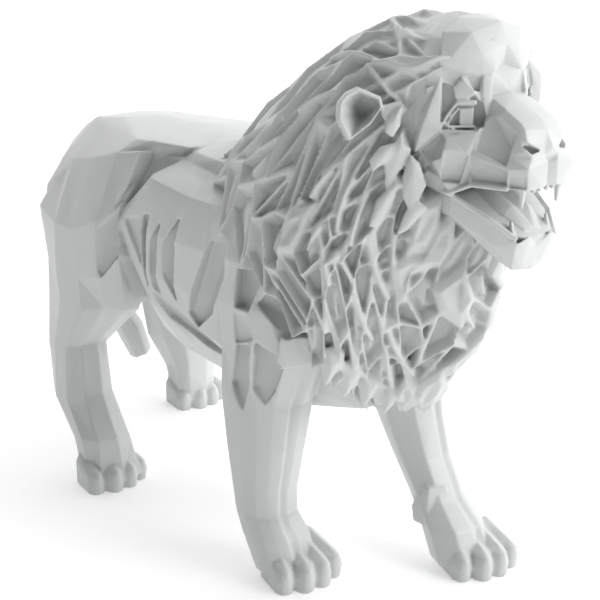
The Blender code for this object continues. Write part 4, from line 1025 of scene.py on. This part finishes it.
def drop_crumbs(ob):
    """Keep the one large shell: specks left over by the joining and thinning go."""
    me = ob.data
    edge = np.empty(len(me.edges) * 2, np.int32)
    me.edges.foreach_get('vertices', edge)
    a, b = edge[::2], edge[1::2]
    mark = np.arange(len(me.vertices))
    while True:
        low = np.minimum(mark[a], mark[b])
        new = mark.copy()
        np.minimum.at(new, a, low)
        np.minimum.at(new, b, low)
        new = new[new]
        if (new == mark).all():
            break
        mark = new
    keep = np.bincount(mark).argmax()
    bm = bmesh.new()
    bm.from_mesh(me)
    bm.verts.ensure_lookup_table()
    crumbs = [bm.verts[int(i)] for i in np.nonzero(mark != keep)[0]]
    print('crumbs', len(crumbs))
    bmesh.ops.delete(bm, geom=crumbs, context='VERTS')
    bm.to_mesh(me)
    bm.free()


def cast(parts, name):
    """The casting: the fused parts united into one skin with flat soles, then thinned."""
    ob = parts[0]
    ob.name = name
    for other in parts[1:]:
        mod = ob.modifiers.new('unite', 'BOOLEAN')
        mod.operation = 'UNION'
        mod.solver = 'MANIFOLD'
        mod.object = other
        bake(ob)
        bpy.data.objects.remove(other, do_unlink=True)
    co = np.empty(len(ob.data.vertices) * 3, np.float32)
    ob.data.vertices.foreach_get('co', co)
    co = co.reshape(-1, 3)
    co[co[:, 2] < 0, 2] = 0
    ob.data.vertices.foreach_set('co', co.ravel())
    ob.data.update()
    triangles = sum(len(p.vertices) - 2 for p in ob.data.polygons)
    mod = ob.modifiers.new('thin', 'DECIMATE')
    mod.ratio = min(1.0, MAX_TRIANGLES / triangles)
    mod.use_collapse_triangulate = True
    bake(ob)
    drop_crumbs(ob)
    return ob


lion = cast([fuse(body_solids(), 'body', .0020, 4), fuse(coat_solids(), 'coat', .0018, 10, hollows()),
             fuse(head_solids(), 'face', .0011, 4)], 'lion_casting')
for p in lion.data.polygons:
    p.use_smooth = True


def recess(ob, passes=30):
    """How far each vertex lies under the smoothed surface round it, in mm, kept on the mesh. The material darkens the
    colour by this depth as painted shade.
    """
    me = ob.data
    co = np.empty(len(me.vertices) * 3, np.float32)
    no = np.empty(len(me.vertices) * 3, np.float32)
    me.vertices.foreach_get('co', co)
    me.vertices.foreach_get('normal', no)
    co, no = co.reshape(-1, 3).astype(float), no.reshape(-1, 3).astype(float)
    edge = np.empty(len(me.edges) * 2, np.int32)
    me.edges.foreach_get('vertices', edge)
    edge = edge.reshape(-1, 2)
    a, b = edge[:, 0], edge[:, 1]
    n = len(co)
    count = np.bincount(a, minlength=n) + np.bincount(b, minlength=n)
    soft = co.copy()
    for _ in range(passes):
        total = np.stack([np.bincount(a, soft[b, k], minlength=n) + np.bincount(b, soft[a, k], minlength=n)
                          for k in range(3)], 1)
        soft = .35 * soft + .65 * total / count[:, None]
    depth = ((soft - co) * no).sum(1) * 1000
    at = me.attributes.new('recess', 'FLOAT', 'POINT')
    at.data.foreach_set('value', depth.astype(np.float32))


recess(lion)
print('triangles', len(lion.data.polygons))


# ---------------------------------------------------------------- finish
def white_resin():
    """White gel coat: satin, faint cloudiness and orange peel, with painted shade darkening the colour in the hollows.
    """
    mat = bpy.data.materials.new('white_gel_coat')
    mat.use_nodes = True
    nt = mat.node_tree
    new, link = nt.nodes.new, nt.links.new
    bsdf = nt.nodes['Principled BSDF']
    place = new('ShaderNodeTexCoord')
    # soft clouds in the colour and the polish
    cloud = new('ShaderNodeTexNoise')
    cloud.inputs['Scale'].default_value = 5.0
    cloud.inputs['Detail'].default_value = 4.0
    link(place.outputs['Object'], cloud.inputs['Vector'])
    tint = new('ShaderNodeMix')
    tint.data_type = 'RGBA'
    tint.inputs['A'].default_value = RESIN_COOL
    tint.inputs['B'].default_value = RESIN_WARM
    link(cloud.outputs['Fac'], tint.inputs['Factor'])
    # painted shade: the colour is darkened where ambient occlusion finds hollows close by
    hollow = new('ShaderNodeAmbientOcclusion')
    hollow.samples = 8
    hollow.inputs['Distance'].default_value = PAINTED_SHADE_AO_REACH
    ao_shade = new('ShaderNodeMapRange')
    ao_shade.inputs['From Min'].default_value = .30
    ao_shade.inputs['From Max'].default_value = .90
    ao_shade.inputs['To Min'].default_value = PAINTED_SHADE_AO_MIN
    ao_shade.inputs['To Max'].default_value = 1.0
    link(hollow.outputs['AO'], ao_shade.inputs['Value'])
    # painted shade: the colour is darkened further where the surface lies sunk under its smoothed shape, a little less
    # on raised parts
    sunk = new('ShaderNodeAttribute')
    sunk.attribute_name = 'recess'
    recess_shade = new('ShaderNodeMapRange')
    recess_shade.inputs['From Min'].default_value = -1.5
    recess_shade.inputs['From Max'].default_value = 2.5
    recess_shade.inputs['To Min'].default_value = PAINTED_SHADE_RAISED
    recess_shade.inputs['To Max'].default_value = PAINTED_SHADE_SUNK
    link(sunk.outputs['Fac'], recess_shade.inputs['Value'])
    both_shades = new('ShaderNodeMath')
    both_shades.operation = 'MULTIPLY'
    link(ao_shade.outputs['Result'], both_shades.inputs[0])
    link(recess_shade.outputs['Result'], both_shades.inputs[1])
    shade = new('ShaderNodeVectorMath')
    shade.operation = 'SCALE'
    link(tint.outputs['Result'], shade.inputs[0])
    link(both_shades.outputs['Value'], shade.inputs['Scale'])
    link(shade.outputs['Vector'], bsdf.inputs['Base Color'])
    # satin finish, slightly uneven
    polish = new('ShaderNodeMapRange')
    polish.inputs['From Min'].default_value = .3
    polish.inputs['From Max'].default_value = .7
    polish.inputs['To Min'].default_value = .30
    polish.inputs['To Max'].default_value = .42
    link(cloud.outputs['Fac'], polish.inputs['Value'])
    link(polish.outputs['Result'], bsdf.inputs['Roughness'])
    bsdf.inputs['Specular IOR Level'].default_value = .5
    # orange peel of the cast surface
    peel = new('ShaderNodeTexNoise')
    peel.inputs['Scale'].default_value = 160.0
    peel.inputs['Detail'].default_value = 2.0
    link(place.outputs['Object'], peel.inputs['Vector'])
    bump = new('ShaderNodeBump')
    bump.inputs['Strength'].default_value = .06
    bump.inputs['Distance'].default_value = .001
    link(peel.outputs['Fac'], bump.inputs['Height'])
    link(bump.outputs['Normal'], bsdf.inputs['Normal'])
    return mat


RESIN_COOL = (.608, .627, .621, 1)
RESIN_WARM = (.627, .638, .632, 1)
# Painted shade: the lowest factor the colour is darkened to in occluded hollows, and how far the occlusion looks.
PAINTED_SHADE_AO_MIN, PAINTED_SHADE_AO_REACH = .87, .024
# Painted shade: colour factors for raised and for sunk surface, taken from the recess depth.
PAINTED_SHADE_RAISED, PAINTED_SHADE_SUNK = .97, .85
lion.data.materials.clear()
lion.data.materials.append(white_resin())
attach(lion, 'root')
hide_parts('lion')

# ---------------------------------------------------------------- floor, light, camera
floor_me = bpy.data.meshes.new('floor')
floor_me.from_pydata([(-30, -30, 0), (30, -30, 0), (30, 30, 0), (-30, 30, 0)], [], [(0, 1, 2, 3)])
floor = bpy.data.objects.new('floor', floor_me)
bpy.context.scene.collection.objects.link(floor)
fm = bpy.data.materials.new('pale_floor')
fm.use_nodes = True
fm.node_tree.nodes['Principled BSDF'].inputs['Base Color'].default_value = (.80, .80, .80, 1)
fm.node_tree.nodes['Principled BSDF'].inputs['Roughness'].default_value = .9
fm.node_tree.nodes['Principled BSDF'].inputs['Emission Color'].default_value = (1, 1, 1, 1)
fm.node_tree.nodes['Principled BSDF'].inputs['Emission Strength'].default_value = .36
floor_me.materials.append(fm)

# A studio of large white panels overhead, in front and behind, open and dark on the lion's right.
DARK_SIDE = Vector((.15, -1.0, -.28)).normalized()
WORLD_LOW, WORLD_HIGH, WORLD_POWER = .06, 1.0, 1.52
world = bpy.data.worlds.new('studio')
bpy.context.scene.world = world
world.use_nodes = True
wt = world.node_tree
where = wt.nodes.new('ShaderNodeTexCoord')
dot = wt.nodes.new('ShaderNodeVectorMath')
dot.operation = 'DOT_PRODUCT'
dot.inputs[1].default_value = DARK_SIDE
ramp = wt.nodes.new('ShaderNodeMapRange')
ramp.interpolation_type = 'SMOOTHSTEP'
ramp.inputs['From Min'].default_value = -.50
ramp.inputs['From Max'].default_value = .50
ramp.inputs['To Min'].default_value = WORLD_HIGH * WORLD_POWER
ramp.inputs['To Max'].default_value = WORLD_LOW * WORLD_POWER
wt.links.new(where.outputs['Generated'], dot.inputs[0])
wt.links.new(dot.outputs['Value'], ramp.inputs['Value'])
wt.links.new(ramp.outputs['Result'], wt.nodes['Background'].inputs['Strength'])
wt.nodes['Background'].inputs['Color'].default_value = (1, 1, 1, 1)


def area(name, loc, size, power, target=(.1, 0, .4)):
    data = bpy.data.lights.new(name, 'AREA')
    data.shape = 'RECTANGLE'
    data.size, data.size_y = size
    data.energy = power
    ob = bpy.data.objects.new(name, data)
    bpy.context.scene.collection.objects.link(ob)
    ob.location = loc
    d = Vector(target) - Vector(loc)
    ob.rotation_euler = d.to_track_quat('-Z', 'Y').to_euler()
    return ob


area('key', (2.2, .8, 1.3), (1.0, 1.0), 18)

AZ, EL, DIST, TARGET, FOCAL_PX = math.radians(49.6), math.radians(18.0), 1.89, Vector((.040, 0, .366)), 1300
back = Vector((math.sin(AZ) * math.cos(EL), -math.cos(AZ) * math.cos(EL), math.sin(EL)))
right = Vector((math.cos(AZ), math.sin(AZ), 0))
up = back.cross(right)
cam_data = bpy.data.cameras.new('camera')
cam_data.sensor_width = 36
cam_data.lens = FOCAL_PX / 600 * 36
cam = bpy.data.objects.new('camera', cam_data)
bpy.context.scene.collection.objects.link(cam)
loc = TARGET + back * DIST + SHIFT
cam.matrix_world = Matrix.Translation(loc) @ Matrix((right, up, back)).transposed().to_4x4()
bpy.context.scene.camera = cam
bpy.context.scene.view_settings.view_transform = 'Standard'
